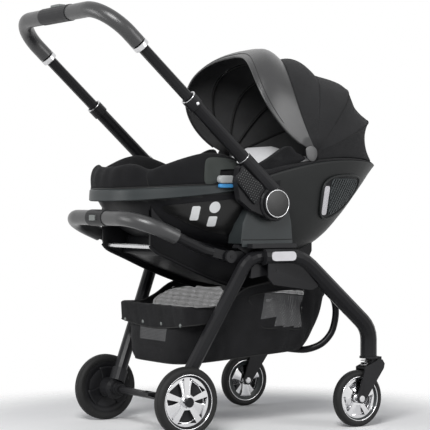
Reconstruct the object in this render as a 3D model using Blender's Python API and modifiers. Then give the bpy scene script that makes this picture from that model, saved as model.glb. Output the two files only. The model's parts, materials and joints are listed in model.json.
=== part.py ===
"""Travel system stroller: an infant carrier shell with a telescopic push handle, plugged onto a
folding four-wheel chassis. Metres, +Z up, +X forward, left side at +Y, wheels standing on Z = 0."""
import math

import bmesh
import bpy
import numpy as np
from mathutils import Matrix, Vector

# Overall
ORIGIN_SHIFT = 0.2065          # the box of the stroller is centred on X = 0 by this shift
SEAT_GAP = 0.0003              # gap between two pieces that touch
RUN_GAP = 0.0008               # side gap of a piece that turns or slides

# Wheels
REAR_TYRE_RADIUS = 0.085
REAR_TYRE_WIDTH = 0.030
REAR_TRACK = 0.408             # between the mid-planes of the rear wheels
FRONT_TYRE_RADIUS = 0.071
FRONT_TYRE_WIDTH = 0.026
FRONT_TRACK = 0.5248
WHEELBASE = 0.471
RIM_SHARE = 0.795              # rim radius to tyre radius
WHEEL_STEPS = 20
TREAD_SHARE = 0.42             # flat part of the tread to the tyre width
SPOKES = 5
AXLE_RADIUS = 0.005

# Arch and legs
ARCH_HEIGHT = 0.4335           # centre of the tube at the top of the arch
ARCH_Y = 0.239
SEAM_X = 0.200                 # where the rear leg leaves the arch
FRONT_LEG_RADIUS = 0.021
FRONT_KNEE = (0.310, ARCH_HEIGHT)
STEM_X = 0.507                 # swivel axis of the front casters
ANKLE_HEIGHT = 0.2475
LEG_FOOT_HEIGHT = 0.1765
REAR_LEG_RADIUS = 0.017
REAR_LEG_TOP_Y = 0.2275
REAR_LEG_FOOT_Y = 0.1535
REAR_KNEE_X = 0.167
FOLD_X = 0.228
FOLD_HEIGHT = 0.400
LUG_RADIUS = 0.0115
PIN_RADIUS = 0.004
WEB_Y = 0.2458                 # inner face of the arch web
WEB_WALL = 0.005

# Rear axle
AXLE_TUBE_RADIUS = 0.009
HOUSING_RADIUS = 0.028
HOUSING_INNER_Y = 0.140
HOUSING_OUTER_Y = 0.1865
LEG_CUP_RADIUS = 0.0212
LEG_CUP_REACH = 0.052
PEDAL_LENGTH = 0.062

# Casters
FORK_PIVOT_X = 0.528
FORK_PIVOT_Z = 0.154
FORK_PIVOT_RADIUS = 0.0155
FORK_WALL = 0.005
FORK_FOOT_RADIUS = 0.0125
SPRING_X = 0.4935
SPRING_RADIUS = 0.0090
SPRING_WIRE = 0.0012
SPRING_CURLS = 3
BRIDGE_TOP = 0.1500
FLANGE_RADIUS = 0.0235
FLANGE_WALL = 0.0050

# Handle
HUB_X = 0.231
HUB_Z = 0.564
HUB_RADIUS = 0.044
HUB_INNER_Y = 0.2225
ARM_OUTER_Y = 0.2505
CAP_OUTER_Y = 0.258
CAP_RADIUS = 0.036
HANDLE_LEAN = 42.2             # degrees above level, leaning to the rear
HANDLE_Y = 0.2385
TUBE_LINE = 0.0235             # the tubes pass this far above the hub axis
LOWER_TUBE_RADIUS = 0.0165
UPPER_TUBE_RADIUS = 0.0135
SOCKET_RADIUS = 0.0187
SOCKET_START = 0.020           # distances along the handle from the hub
SOCKET_END = 0.1405
LOWER_TUBE_START = 0.050
LOWER_TUBE_END = 0.352
SPINDLE_RADIUS = 0.012
SPINDLE_END = 0.2375
CAP_RECESS = 0.010
RING_AT = 0.530
HANDLE_LENGTH = 0.659
HANDLE_BEND = 0.090
GRIP_RADIUS = 0.0190
INNER_TUBE_HELD = 0.075         # length of the inner tube inside the outer one
BUTTON_TRAVEL = 0.003
RING_HALF = 0.0065
SWITCH_HALF = 0.070
SWITCH_WALL = 0.0016
RELEASE_WIDTH = 0.009
RELEASE_HALF = 0.022
RELEASE_TRAVEL = 0.0035

# Sockets for the carrier
SHELF_TOP = ARCH_HEIGHT + FRONT_LEG_RADIUS + SEAT_GAP + 0.0105
SOCKET_FOOT = 0.4120
SOCKET_IN_Y = 0.183
SOCKET_OUT_Y = 0.2095
SHELF_OUT_Y = 0.2460
TONGUE_IN = 0.190
TONGUE_OUT = 0.202
TONGUE_REAR = 0.215
TONGUE_FRONT = 0.262
TONGUE_END = 0.428

# Grab bar
BAR_PIVOT_X = 0.128
BAR_PIVOT_Z = 0.434
BAR_Y = 0.194
BAR_RADIUS = 0.013
BAR_GRIP_RADIUS = 0.0190
BAR_FRONT_X = -0.126
BAR_FRONT_Z = 0.529
BAR_BEND = 0.085
BAR_GRIP_BACK_X = -0.022
BAR_SWITCH_HALF = 0.040
BAR_TRAVEL = 0.0025
EYE_HALF = 0.006
EYE_RADIUS = 0.0155

# Shell
SHELL_MID_X = 0.250
SHELL_FOOT_LENGTH = 0.372
SHELL_HEAD_LENGTH = 0.425
SHELL_HALF_WIDTH = 0.212
SHELL_POWER = 2.5
SHELL_WALL = 0.004
LINER_LIFT = 0.0062            # the liner's clearance over the shell's outer surface
ROCKER_Y = 0.120
ROCKER_WALL = 0.008
ROD_RADIUS = 0.0058
ROD_X = -0.036
ROD_Z = 0.4585
BUCKLE_Z = 0.500
LINER_PAD = 0.016
INSERT_X = 0.415
INSERT_LENGTH = 0.130
INSERT_HALF = 0.120

# Canopy
CANOPY_X = 0.385
CANOPY_Z = 0.690
CANOPY_RADIUS = 0.2745
CANOPY_HALF_WIDTH = 0.2075
CANOPY_WALL = 0.0014
CANOPY_STEP = 0.0030           # each panel nests this far inside the one ahead of it
HEM_GAP = 0.002
CANOPY_PIN_RADIUS = 0.006
CANOPY_EYE_RADIUS = 0.014

# Basket
BASKET_REAR_X = 0.052
BASKET_FRONT_X = 0.415
BASKET_TOP_HALF = 0.176
BASKET_FLOOR_HALF = 0.146
BASKET_FLOOR_Z = 0.188
BASKET_WALL = 0.003
HOOP_RADIUS = 0.009
HOOP_LEG_X = 0.430

FLAT_ANGLE = math.radians(0.2)  # faces this flat to each other are merged
SIDES = {"left": 1.0, "right": -1.0}


def clear_scene():
    for obj in list(bpy.data.objects):
        bpy.data.objects.remove(obj, do_unlink=True)


clear_scene()
stroller = bpy.data.collections.new("travel_system_stroller")
cutters = bpy.data.collections.new("cutters")
bpy.context.scene.collection.children.link(stroller)
bpy.context.scene.collection.children.link(cutters)


def material(name, colour, roughness, metallic=0.0):
    mat = bpy.data.materials.new(name)
    mat.use_nodes = True
    shader = mat.node_tree.nodes["Principled BSDF"]
    shader.inputs["Base Color"].default_value = (*colour, 1.0)
    shader.inputs["Roughness"].default_value = roughness
    shader.inputs["Metallic"].default_value = metallic
    return mat


BLACK_TUBE = material("black_tube", (0.020, 0.020, 0.021), 0.35, 0.6)
BLACK_PLASTIC = material("black_plastic", (0.025, 0.025, 0.026), 0.45)
SHELL_PLASTIC = material("shell_plastic", (0.045, 0.046, 0.047), 0.55)
CASING_PLASTIC = material("casing_plastic", (0.075, 0.082, 0.086), 0.40)
GREY_PLASTIC = material("grey_plastic", (0.16, 0.17, 0.16), 0.50)
RUBBER = material("tyre_rubber", (0.018, 0.018, 0.018), 0.80)
CHROME = material("chrome", (0.85, 0.85, 0.86), 0.08, 1.0)
STEEL = material("steel", (0.60, 0.60, 0.60), 0.25, 1.0)
REFLECTOR = material("reflector", (0.75, 0.75, 0.76), 0.30)
LEATHER = material("leather_grip", (0.10, 0.10, 0.105), 0.38)
FABRIC = material("seat_fabric", (0.035, 0.035, 0.037), 0.90)
CANOPY_FABRIC = material("canopy_fabric", (0.055, 0.055, 0.057), 0.85)
INSERT_FABRIC = material("insert_fabric", (0.60, 0.60, 0.60), 0.90)
BASKET_FABRIC = material("basket_fabric", (0.022, 0.022, 0.024), 0.90)


# Bodies: each empty stands on its joint's axis
pivots = {}


def body(name, place, parent=None):
    empty = bpy.data.objects.new(name + "_axis", None)
    stroller.objects.link(empty)
    empty.empty_display_size = 0.03
    empty.location = place
    if parent:
        empty.parent = pivots[parent][0]
        empty.matrix_parent_inverse = Matrix.Translation(-pivots[parent][1])
    pivots[name] = (empty, Vector(place))


def attach(obj, body_name):
    empty, place = pivots[body_name]
    obj.parent = empty
    obj.matrix_parent_inverse = Matrix.Translation(-place)
    return obj


def add_object(name, data, mat, body_name, collection=None):
    obj = bpy.data.objects.new(name, data)
    (collection or stroller).objects.link(obj)
    if mat:
        data.materials.append(mat)
    if body_name:
        attach(obj, body_name)
    return obj


def mesh_from(bm, name, smooth_angle=35.0):
    bmesh.ops.recalc_face_normals(bm, faces=bm.faces)
    mesh = bpy.data.meshes.new(name)
    bm.to_mesh(mesh)
    bm.free()
    mesh.shade_smooth()
    mesh.set_sharp_from_angle(angle=math.radians(smooth_angle))
    return mesh


def cylinder(bm, start, end, radius, end_radius=None, steps=16):
    """A closed cylinder or cone between two points."""
    start, end = Vector(start), Vector(end)
    axis = end - start
    turn = axis.to_track_quat("Z", "Y").to_matrix().to_4x4()
    matrix = Matrix.Translation((start + end) / 2) @ turn
    bmesh.ops.create_cone(bm, cap_ends=True, segments=steps, radius1=radius,
                          radius2=radius if end_radius is None else end_radius,
                          depth=axis.length, matrix=matrix)


def block(bm, low, high):
    """A box from its lowest to its highest corner."""
    low, high = Vector(low), Vector(high)
    size = high - low
    matrix = Matrix.Translation((low + high) / 2) @ Matrix.Diagonal((*size, 1.0))
    bmesh.ops.create_cube(bm, size=1.0, matrix=matrix)


def round_bar(name, start, end, radius, steps=16, end_radius=None):
    bm = bmesh.new()
    cylinder(bm, start, end, radius, end_radius, steps)
    return mesh_from(bm, name)


def y_bar(name, axis, start_y, end_y, radius, steps=16):
    """A round bar along Y through a point of its axis."""
    return round_bar(name, (axis[0], start_y, axis[2]), (axis[0], end_y, axis[2]), radius, steps)


def box_mesh(name, low, high):
    bm = bmesh.new()
    block(bm, low, high)
    return mesh_from(bm, name)


def turned(name, profile, steps, mat, body_name, place, offset=0.0):
    """A ring or disc turned about the Y axis from a closed profile of (radius, y) points that runs
    down its outer side from +Y to -Y."""
    bm = bmesh.new()
    points = [bm.verts.new((radius, 0.0, height)) for radius, height in profile]
    for a, b in zip(points, points[1:] + points[:1]):
        bm.edges.new((a, b))
    mesh = bpy.data.meshes.new(name)
    bm.to_mesh(mesh)
    bm.free()
    obj = add_object(name, mesh, mat, body_name)
    obj.location = place
    obj.rotation_euler = (math.radians(-90), 0, 0)
    if offset:
        obj.rotation_euler = (Matrix.Rotation(math.radians(-90), 4, "X")
                              @ Matrix.Rotation(offset, 4, "Z")).to_euler()
    screw = obj.modifiers.new("turn", "SCREW")
    screw.steps = screw.render_steps = steps
    screw.use_merge_vertices = True
    screw.merge_threshold = 0.0001
    screw.use_smooth_shade = True
    return obj


def apply_modifiers(obj):
    """Turn an object's modifiers into its mesh, seams welded."""
    depsgraph = bpy.context.evaluated_depsgraph_get()
    mesh = bpy.data.meshes.new_from_object(obj.evaluated_get(depsgraph))
    bm = bmesh.new()
    bm.from_mesh(mesh)
    bmesh.ops.remove_doubles(bm, verts=bm.verts, dist=0.00001)
    bmesh.ops.dissolve_limit(bm, angle_limit=FLAT_ANGLE, use_dissolve_boundaries=False,
                             verts=bm.verts, edges=bm.edges, delimit={"NORMAL"})
    bm.to_mesh(mesh)
    bm.free()
    obj.modifiers.clear()
    obj.data = mesh
    return obj


def tube(name, points, radius, mat, body_name, resolution=3, collection=None):
    """A tube along points, as a curve with filled caps."""
    curve = bpy.data.curves.new(name, "CURVE")
    curve.dimensions = "3D"
    curve.bevel_depth = radius
    curve.bevel_resolution = resolution
    curve.use_fill_caps = True
    spline = curve.splines.new("POLY")
    spline.points.add(len(points) - 1)
    for target, point in zip(spline.points, points):
        target.co = (*point, 1.0)
    return add_object(name, curve, mat, body_name, collection)


def as_mesh(obj):
    """A curve turned into a mesh whose caps are welded, at the same place."""
    depsgraph = bpy.context.evaluated_depsgraph_get()
    mesh = bpy.data.meshes.new_from_object(obj.evaluated_get(depsgraph))
    bm = bmesh.new()
    bm.from_mesh(mesh)
    bmesh.ops.remove_doubles(bm, verts=bm.verts, dist=0.00001)
    bmesh.ops.recalc_face_normals(bm, faces=bm.faces)
    bm.to_mesh(mesh)
    bm.free()
    mesh.shade_smooth()
    mesh.set_sharp_from_angle(angle=math.radians(40))
    new = bpy.data.objects.new(obj.name, mesh)
    name = obj.name
    for holder in obj.users_collection:
        holder.objects.link(new)
    new.parent = obj.parent
    new.matrix_parent_inverse = obj.matrix_parent_inverse
    new.matrix_basis = obj.matrix_basis
    bpy.data.objects.remove(obj, do_unlink=True)
    new.name = name
    return new


def bent_path(corners, radius, steps=6):
    """Points along straight runs joined by arcs, as a bent tube has them."""
    corners = [Vector(corner) for corner in corners]
    radii = radius if isinstance(radius, (list, tuple)) else [radius] * (len(corners) - 2)
    counts = steps if isinstance(steps, (list, tuple)) else [steps] * (len(corners) - 2)
    points = [corners[0]]
    for before, corner, after, bend, steps in zip(corners, corners[1:], corners[2:], radii, counts):
        into, out = (before - corner).normalized(), (after - corner).normalized()
        angle = into.angle(out)
        setback = bend / math.tan(angle / 2)
        centre = corner + (into + out).normalized() * bend / math.sin(angle / 2)
        first, last = corner + into * setback - centre, corner + out * setback - centre
        sweep = first.angle(last)
        for step in range(steps + 1):
            share = step / steps
            points.append(centre + (first * math.sin(sweep * (1 - share))
                                    + last * math.sin(sweep * share)) / math.sin(sweep))
    points.append(corners[-1])
    return points


def outline_plate(name, outline, low_y, high_y, mat, body_name, bevel=0.0, collection=None):
    """A flat piece with an outline of (x, z) points, between two Y values."""
    curve = bpy.data.curves.new(name, "CURVE")
    curve.dimensions = "2D"
    curve.fill_mode = "BOTH"
    curve.extrude = (high_y - low_y) / 2
    spline = curve.splines.new("POLY")
    spline.points.add(len(outline) - 1)
    for target, (x, z) in zip(spline.points, outline):
        target.co = (x, z, 0.0, 1.0)
    spline.use_cyclic_u = True
    obj = add_object(name, curve, mat, body_name, collection)
    obj.location = (0.0, (low_y + high_y) / 2, 0.0)
    obj.rotation_euler = (math.radians(90), 0.0, 0.0)
    obj = as_mesh(obj)
    if bevel:
        edge = obj.modifiers.new("edge", "BEVEL")
        edge.width = bevel
        edge.segments = 1
        edge.limit_method = "ANGLE"
        edge.angle_limit = math.radians(50)
    return obj


def rounded(corners, radius, steps=2):
    """A closed outline of (x, z) points with its corners rounded."""
    ring = []
    count = len(corners)
    radii = radius if isinstance(radius, (list, tuple)) else [radius] * count
    for index in range(count):
        before = Vector(corners[index - 1])
        corner = Vector(corners[index])
        after = Vector(corners[(index + 1) % count])
        if radii[index] == 0.0:
            ring.append(tuple(corner))
            continue
        into, out = (before - corner).normalized(), (after - corner).normalized()
        angle = math.acos(max(-1.0, min(1.0, into.dot(out))))
        setback = radii[index] / math.tan(angle / 2)
        start, end = corner + into * setback, corner + out * setback
        for step in range(steps + 1):
            share = step / steps
            ring.append(tuple(start * (1 - share) ** 2 + corner * 2 * share * (1 - share)
                              + end * share ** 2))
    return ring


def modify(obj, operation, other):
    change = obj.modifiers.new(operation.lower(), "BOOLEAN")
    change.operation = operation
    change.solver = "EXACT"
    change.object = other
    return obj


def as_cutter(obj):
    """Turn an object of the cutters collection into a hidden cutting body."""
    obj.parent = pivots["front_frame"][0]
    obj.hide_render = True
    obj.display_type = "WIRE"
    return obj


def cutter(name, mesh):
    return as_cutter(add_object(name, mesh, None, None, cutters))


def both_sides(obj, base):
    """Finish the left piece and give the right side its mirror image."""
    apply_modifiers(obj)
    obj.name = base + "_left"
    mesh = obj.data.copy()
    mesh.name = base + "_right"
    mesh.transform(obj.matrix_basis)
    mesh.transform(Matrix.Scale(-1, 4, (0, 1, 0)))
    mesh.flip_normals()
    other = bpy.data.objects.new(base + "_right", mesh)
    stroller.objects.link(other)
    other.parent = obj.parent
    other.matrix_parent_inverse = obj.matrix_parent_inverse


def cut(obj, name, mesh):
    return modify(obj, "DIFFERENCE", cutter(name, mesh))


def join(obj, name, mesh):
    return modify(obj, "UNION", cutter(name, mesh))


def through(points, values):
    """A smooth curve through the given values, read at any X."""
    points, values = np.array(points), np.array(values)
    slopes = np.gradient(values, points)

    def read(x):
        x = np.clip(x, points[0], points[-1])
        index = np.clip(np.searchsorted(points, x) - 1, 0, len(points) - 2)
        width = points[index + 1] - points[index]
        t = (x - points[index]) / width
        return ((2 * t ** 3 - 3 * t ** 2 + 1) * values[index]
                + (t ** 3 - 2 * t ** 2 + t) * width * slopes[index]
                + (3 * t ** 2 - 2 * t ** 3) * values[index + 1]
                + (t ** 3 - t ** 2) * width * slopes[index + 1])
    return read


def loft(name, rings, mat, body_name, smooth_angle=35.0, bowl=False):
    """A skin over rings of equal count, its ends filled. On a bowl, whose rings start at its nose
    and are alike on both sides, faces and ends are split alike on both sides too."""
    bm = bmesh.new()
    loops = [[bm.verts.new(point) for point in ring] for ring in rings]
    count = len(loops[0])
    for low, high in zip(loops, loops[1:]):
        upward = sum(vert.co.z for vert in high) > sum(vert.co.z for vert in low)
        for index in range(count):
            after = (index + 1) % count
            if not bowl:
                bm.faces.new((low[index], low[after], high[after], high[index]))
            elif (index < count // 2) == upward:
                bm.faces.new((low[index], low[after], high[after]))
                bm.faces.new((low[index], high[after], high[index]))
            else:
                bm.faces.new((low[after], high[after], high[index]))
                bm.faces.new((low[after], high[index], low[index]))
    for end in (loops[0], loops[-1]):
        if not bowl:
            bm.faces.new(end)
            continue
        bm.faces.new((end[0], end[1], end[-1]))
        for index in range(1, count // 2 - 1):
            bm.faces.new((end[index], end[index + 1], end[-index - 1], end[-index]))
        bm.faces.new((end[count // 2 - 1], end[count // 2], end[count // 2 + 1]))
    return add_object(name, mesh_from(bm, name, smooth_angle), mat, body_name)


def sleeve(name, path, radius, bore_radius, mat, body_name, steps=12):
    """A hollow sleeve along a flat bent path, open at both ends."""
    path = [Vector(point) for point in path]
    across = (path[1] - path[0]).cross(path[-1] - path[0]).normalized()
    ahead = [(b - a).normalized() for a, b in zip(path, path[1:])]
    facing = [ahead[0]] + [(a + b).normalized() for a, b in zip(ahead, ahead[1:])] + [ahead[-1]]
    angles = np.linspace(0, math.tau, steps, endpoint=False)

    def ring(index, size):
        out = facing[index].cross(across)
        return [path[index] + (out * math.cos(a) + across * math.sin(a)) * size for a in angles]

    count = len(path)
    rings = [ring(index, radius) for index in range(count)]
    rings += [ring(index, bore_radius) for index in reversed(range(count))]
    rings.append(rings[0])
    bm = bmesh.new()
    loops = [[bm.verts.new(point) for point in ring] for ring in rings[:-1]]
    loops.append(loops[0])
    for low, high in zip(loops, loops[1:]):
        for index in range(steps):
            after = (index + 1) % steps
            bm.faces.new((low[index], low[after], high[after], high[index]))
    return add_object(name, mesh_from(bm, name), mat, body_name)


def mirrored(points, side):
    return [(x, side * y, z) for x, y, z in points]


# The bodies and their axes
body("front_frame", (-ORIGIN_SHIFT, 0.0, 0.0))
pivots["front_frame"] = (pivots["front_frame"][0], Vector((0.0, 0.0, 0.0)))
body("rear_frame", (FOLD_X, 0.0, FOLD_HEIGHT), "front_frame")
body("brake", (0.0, 0.0, REAR_TYRE_RADIUS), "rear_frame")
body("grab_bar", (BAR_PIVOT_X, 0.0, BAR_PIVOT_Z), "front_frame")
body("grab_bar_release", (BAR_FRONT_X, 0.0, BAR_FRONT_Z), "grab_bar")
body("carrier", (SHELL_MID_X, 0.0, FOLD_HEIGHT), "front_frame")
body("handle", (HUB_X, 0.0, HUB_Z), "carrier")
body("handle_top", (HUB_X, 0.0, HUB_Z), "handle")
body("handle_release", (HUB_X, 0.0, HUB_Z), "handle_top")
for name in ("canopy_front", "canopy_second", "canopy_third", "canopy_fourth"):
    body(name, (CANOPY_X, 0.0, CANOPY_Z), "carrier")
for name, side in SIDES.items():
    body("rear_wheel_" + name, (0.0, side * REAR_TRACK / 2, REAR_TYRE_RADIUS), "rear_frame")
    body("caster_" + name, (STEM_X, side * FRONT_TRACK / 2, LEG_FOOT_HEIGHT), "front_frame")
    body("fork_" + name, (FORK_PIVOT_X, side * FRONT_TRACK / 2, FORK_PIVOT_Z), "caster_" + name)
    body("front_wheel_" + name, (WHEELBASE, side * FRONT_TRACK / 2, FRONT_TYRE_RADIUS),
         "fork_" + name)
    body("hub_button_" + name, (HUB_X, side * CAP_OUTER_Y, HUB_Z), "handle")


# Wheels
def tyre(name, radius, width, wheel, place):
    """A tyre with a flat tread, one facet square to the ground."""
    outer = radius / math.cos(math.pi / WHEEL_STEPS)
    inner = radius * RIM_SHARE + SEAT_GAP
    tread, half = width * TREAD_SHARE / 2, width / 2
    shoulder = outer - (half - tread) * 0.45
    profile = [(inner, half * 0.80), (shoulder, half), (outer, tread), (outer, -tread),
               (shoulder, -half), (inner, -half * 0.80)]
    turned(name, profile, WHEEL_STEPS, RUBBER, wheel, place, math.pi / WHEEL_STEPS)


def rim(name, radius, width, wheel, place, hub_radius, hub_half):
    """A bright wheel rim: a dished web with windows between its spokes, a bead and a hub."""
    outer = radius * RIM_SHARE
    half, bead, web = width * 0.40, 0.0045, width * 0.17
    profile = [(outer, half), (outer, -half), (outer - bead, -web),
               (hub_radius, -web), (hub_radius - 0.002, -hub_half),
               (AXLE_RADIUS + SEAT_GAP, -hub_half), (AXLE_RADIUS + SEAT_GAP, hub_half),
               (hub_radius - 0.002, hub_half), (hub_radius, web), (outer - bead, web)]
    obj = turned(name, profile, WHEEL_STEPS, CHROME, wheel, place, math.pi / WHEEL_STEPS)
    obj = apply_modifiers(obj)
    window_in, window_out = hub_radius + 0.0055, outer - bead - 0.0045
    spoke = 0.0085 if radius > FRONT_TYRE_RADIUS else 0.0075
    bm = bmesh.new()
    for turn in range(SPOKES):
        middle = math.tau * (turn + 0.5) / SPOKES
        ring = []
        for share in (-1.0, 1.0):
            reach = math.pi / SPOKES - math.asin(spoke / window_out)
            ring.append((window_out, middle + share * reach))
        reach = math.pi / SPOKES - math.asin(min(0.95, spoke * 0.62 / window_in))
        ring += [(window_in, middle + reach), (window_in, middle - reach)]
        corners = [(r * math.sin(a), r * math.cos(a)) for r, a in ring]
        near = [bm.verts.new((x + place[0], place[1] - width, z + place[2])) for x, z in corners]
        far = [bm.verts.new((x + place[0], place[1] + width, z + place[2])) for x, z in corners]
        bm.faces.new(near)
        bm.faces.new(far)
        for index in range(len(corners)):
            after = (index + 1) % len(corners)
            bm.faces.new((near[index], near[after], far[after], far[index]))
    cut(obj, name + "_windows", mesh_from(bm, name + "_windows"))


def wheels():
    for name, side in SIDES.items():
        rear = (0.0, side * REAR_TRACK / 2, REAR_TYRE_RADIUS)
        tyre("rear_tyre_" + name, REAR_TYRE_RADIUS, REAR_TYRE_WIDTH, "rear_wheel_" + name, rear)
        rim("rear_rim_" + name, REAR_TYRE_RADIUS, REAR_TYRE_WIDTH, "rear_wheel_" + name, rear,
            0.0155, REAR_TYRE_WIDTH * 0.52)
        front = (WHEELBASE, side * FRONT_TRACK / 2, FRONT_TYRE_RADIUS)
        tyre("front_tyre_" + name, FRONT_TYRE_RADIUS, FRONT_TYRE_WIDTH, "front_wheel_" + name, front)
        rim("front_rim_" + name, FRONT_TYRE_RADIUS, FRONT_TYRE_WIDTH, "front_wheel_" + name, front,
            0.0125, FRONT_TYRE_WIDTH * 0.52)


# Chassis
def front_leg_line(side):
    """Centre line of the arch and front leg; the leg splays outward towards its foot."""
    foot_y = FRONT_TRACK / 2
    knee, ankle = Vector(FRONT_KNEE), Vector((STEM_X, ANKLE_HEIGHT))
    return bent_path(mirrored([(SEAM_X + SEAT_GAP, ARCH_Y, ARCH_HEIGHT),
                               (knee.x, ARCH_Y, knee.y),
                               (ankle.x, foot_y, ankle.y),
                               (STEM_X, foot_y, LEG_FOOT_HEIGHT)], side), [0.100, 0.065], 4)


def rear_leg_line(side):
    """Centre line of the rear leg, drawn in towards the axle, down to its cup."""
    top = Vector((SEAM_X - SEAT_GAP, REAR_LEG_TOP_Y, ARCH_HEIGHT))
    knee = Vector((REAR_KNEE_X, REAR_LEG_TOP_Y, ARCH_HEIGHT))
    foot = Vector((0.0, REAR_LEG_FOOT_Y, REAR_TYRE_RADIUS))
    toe = foot + (knee - foot).normalized() * (HOUSING_RADIUS + 0.003)
    return bent_path(mirrored([top, knee, toe], side), 0.048, 4)


def arch_web():
    """Outline of the moulded web under the arch, with its slot above the basket."""
    sunk = FRONT_LEG_RADIUS * 0.6
    top = ARCH_HEIGHT - sunk
    knee, ankle = Vector(FRONT_KNEE), Vector((STEM_X, ANKLE_HEIGHT))
    slope = (ankle - knee).normalized()
    normal = Vector((slope.y, -slope.x))
    line_point = knee + normal * sunk
    corner = Vector((line_point.x + (top - line_point.y) / slope.y * slope.x, top))
    low_front = corner + slope * 0.088
    return rounded([(FOLD_X - 0.020, top), tuple(corner), tuple(low_front),
                    (low_front.x - 0.030, FOLD_HEIGHT - 0.052),
                    (FOLD_X - 0.004, FOLD_HEIGHT - 0.036), (FOLD_X - 0.020, FOLD_HEIGHT - 0.018)],
                   [0.003, 0.030, 0.010, 0.016, 0.016, 0.008], 3)


def seat_socket():
    """The sockets on the arches that the carrier plugs into, each with an ear for the grab bar."""
    shelf = ARCH_HEIGHT + FRONT_LEG_RADIUS + SEAT_GAP
    name = "seat_sockets"
    outline = rounded([(0.205, SOCKET_FOOT), (0.300, SOCKET_FOOT), (0.300, shelf),
                       (0.300, SHELF_TOP), (0.150, SHELF_TOP), (0.146, shelf), (0.188, 0.4300),
                       (0.205, 0.4200)],
                      [0.004, 0.012, 0.0, 0.004, 0.004, 0.0, 0.004, 0.0])
    socket = outline_plate(name, outline, SOCKET_IN_Y, SOCKET_OUT_Y, BLACK_PLASTIC, "front_frame")
    join(socket, "socket_shelf", box_mesh("socket_shelf", (0.165, SOCKET_OUT_Y - 0.004, shelf),
                                          (0.296, SHELF_OUT_Y, SHELF_TOP)))
    ear_in = BAR_Y + EYE_HALF + RUN_GAP
    ear_axis = (BAR_PIVOT_X, 0.0, BAR_PIVOT_Z)
    join(socket, "socket_ear", y_bar("socket_ear", ear_axis, ear_in, SOCKET_OUT_Y, EYE_RADIUS))
    join(socket, "socket_neck",
         box_mesh("socket_neck", (BAR_PIVOT_X, ear_in + SEAT_GAP, BAR_PIVOT_Z - 0.013),
                  (0.190, SOCKET_OUT_Y - 0.003, BAR_PIVOT_Z + 0.013)))
    cut(socket, "socket_pocket", y_bar("socket_pocket", ear_axis, SOCKET_IN_Y - 0.02, ear_in,
                                       EYE_RADIUS + 0.003))
    cut(socket, "socket_bore", y_bar("socket_bore", ear_axis, SOCKET_IN_Y, SOCKET_OUT_Y + 0.01,
                                     PIN_RADIUS + SEAT_GAP, 12))
    cut(socket, "socket_mouth",
        box_mesh("socket_mouth", (TONGUE_REAR - SEAT_GAP, TONGUE_IN - SEAT_GAP, TONGUE_END - 0.03),
                 (TONGUE_FRONT + SEAT_GAP, TONGUE_OUT + SEAT_GAP, SHELF_TOP + 0.02)))
    both_sides(socket, "seat_socket")


def rear_leg():
    """The rear legs, each with its fold lug and pin."""
    leg = as_mesh(tube("rear_leg", rear_leg_line(1.0), REAR_LEG_RADIUS, BLACK_TUBE, "rear_frame", 4))
    lug_half = 0.004
    root_x = SEAM_X - 0.010
    under = ARCH_HEIGHT - REAR_LEG_RADIUS
    outline = rounded([(root_x - 0.016, under + 0.010), (SEAM_X - 0.002, under + 0.004),
                       (SEAM_X + 0.0005, FOLD_HEIGHT + LUG_RADIUS), (FOLD_X, FOLD_HEIGHT + LUG_RADIUS),
                       (FOLD_X + LUG_RADIUS, FOLD_HEIGHT + LUG_RADIUS),
                       (FOLD_X + LUG_RADIUS, FOLD_HEIGHT - LUG_RADIUS),
                       (FOLD_X - 0.006, FOLD_HEIGHT - LUG_RADIUS),
                       (root_x - 0.022, FOLD_HEIGHT - 0.020)],
                      [0.0, 0.0, 0.002, 0.0, LUG_RADIUS * 0.98, LUG_RADIUS * 0.98, 0.006, 0.004], 3)
    lug = outline_plate("fold_lug", outline, REAR_LEG_TOP_Y - lug_half, REAR_LEG_TOP_Y + lug_half,
                        None, None, collection=cutters)
    modify(leg, "UNION", as_cutter(lug))
    join(leg, "fold_pin", y_bar("fold_pin", (FOLD_X, 0.0, FOLD_HEIGHT), REAR_LEG_TOP_Y - 0.0055,
                                WEB_Y + WEB_WALL - SEAT_GAP, PIN_RADIUS, 12))
    both_sides(leg, "rear_leg")


def brake_housing():
    """The housings round the axle: stepped drums, each with a cup for its leg."""
    name = "brake_housings"
    centre = Vector((0.0, 0.0, REAR_TYRE_RADIUS))
    inner, outer = HOUSING_INNER_Y, HOUSING_OUTER_Y
    hole = AXLE_RADIUS + SEAT_GAP
    tube_hole = AXLE_TUBE_RADIUS + SEAT_GAP
    profile = [(HOUSING_RADIUS - 0.002, outer), (HOUSING_RADIUS, outer - 0.002),
               (HOUSING_RADIUS, inner + 0.008), (0.0185, inner + 0.003), (0.0185, inner - 0.010),
               (0.0140, inner - 0.012), (0.0140, inner - 0.024), (tube_hole, inner - 0.024),
               (tube_hole, inner + 0.012),
               (hole, inner + 0.012), (hole, outer)]
    housing = turned(name, profile, 16, BLACK_PLASTIC, "rear_frame", centre)
    housing = apply_modifiers(housing)
    line = rear_leg_line(1.0)
    toe, up = line[-1], (line[-2] - line[-1]).normalized()
    base = toe - up * 0.012
    cup = round_bar(name + "_cup", base, toe + up * (LEG_CUP_REACH - 0.030), LEG_CUP_RADIUS)
    join(housing, name + "_cup", cup)
    bore = round_bar(name + "_leg_bore", toe - up * SEAT_GAP, toe + up * LEG_CUP_REACH,
                     REAR_LEG_RADIUS + SEAT_GAP, 20)
    cut(housing, name + "_leg_bore", bore)
    both_sides(housing, "brake_housing")


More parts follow.
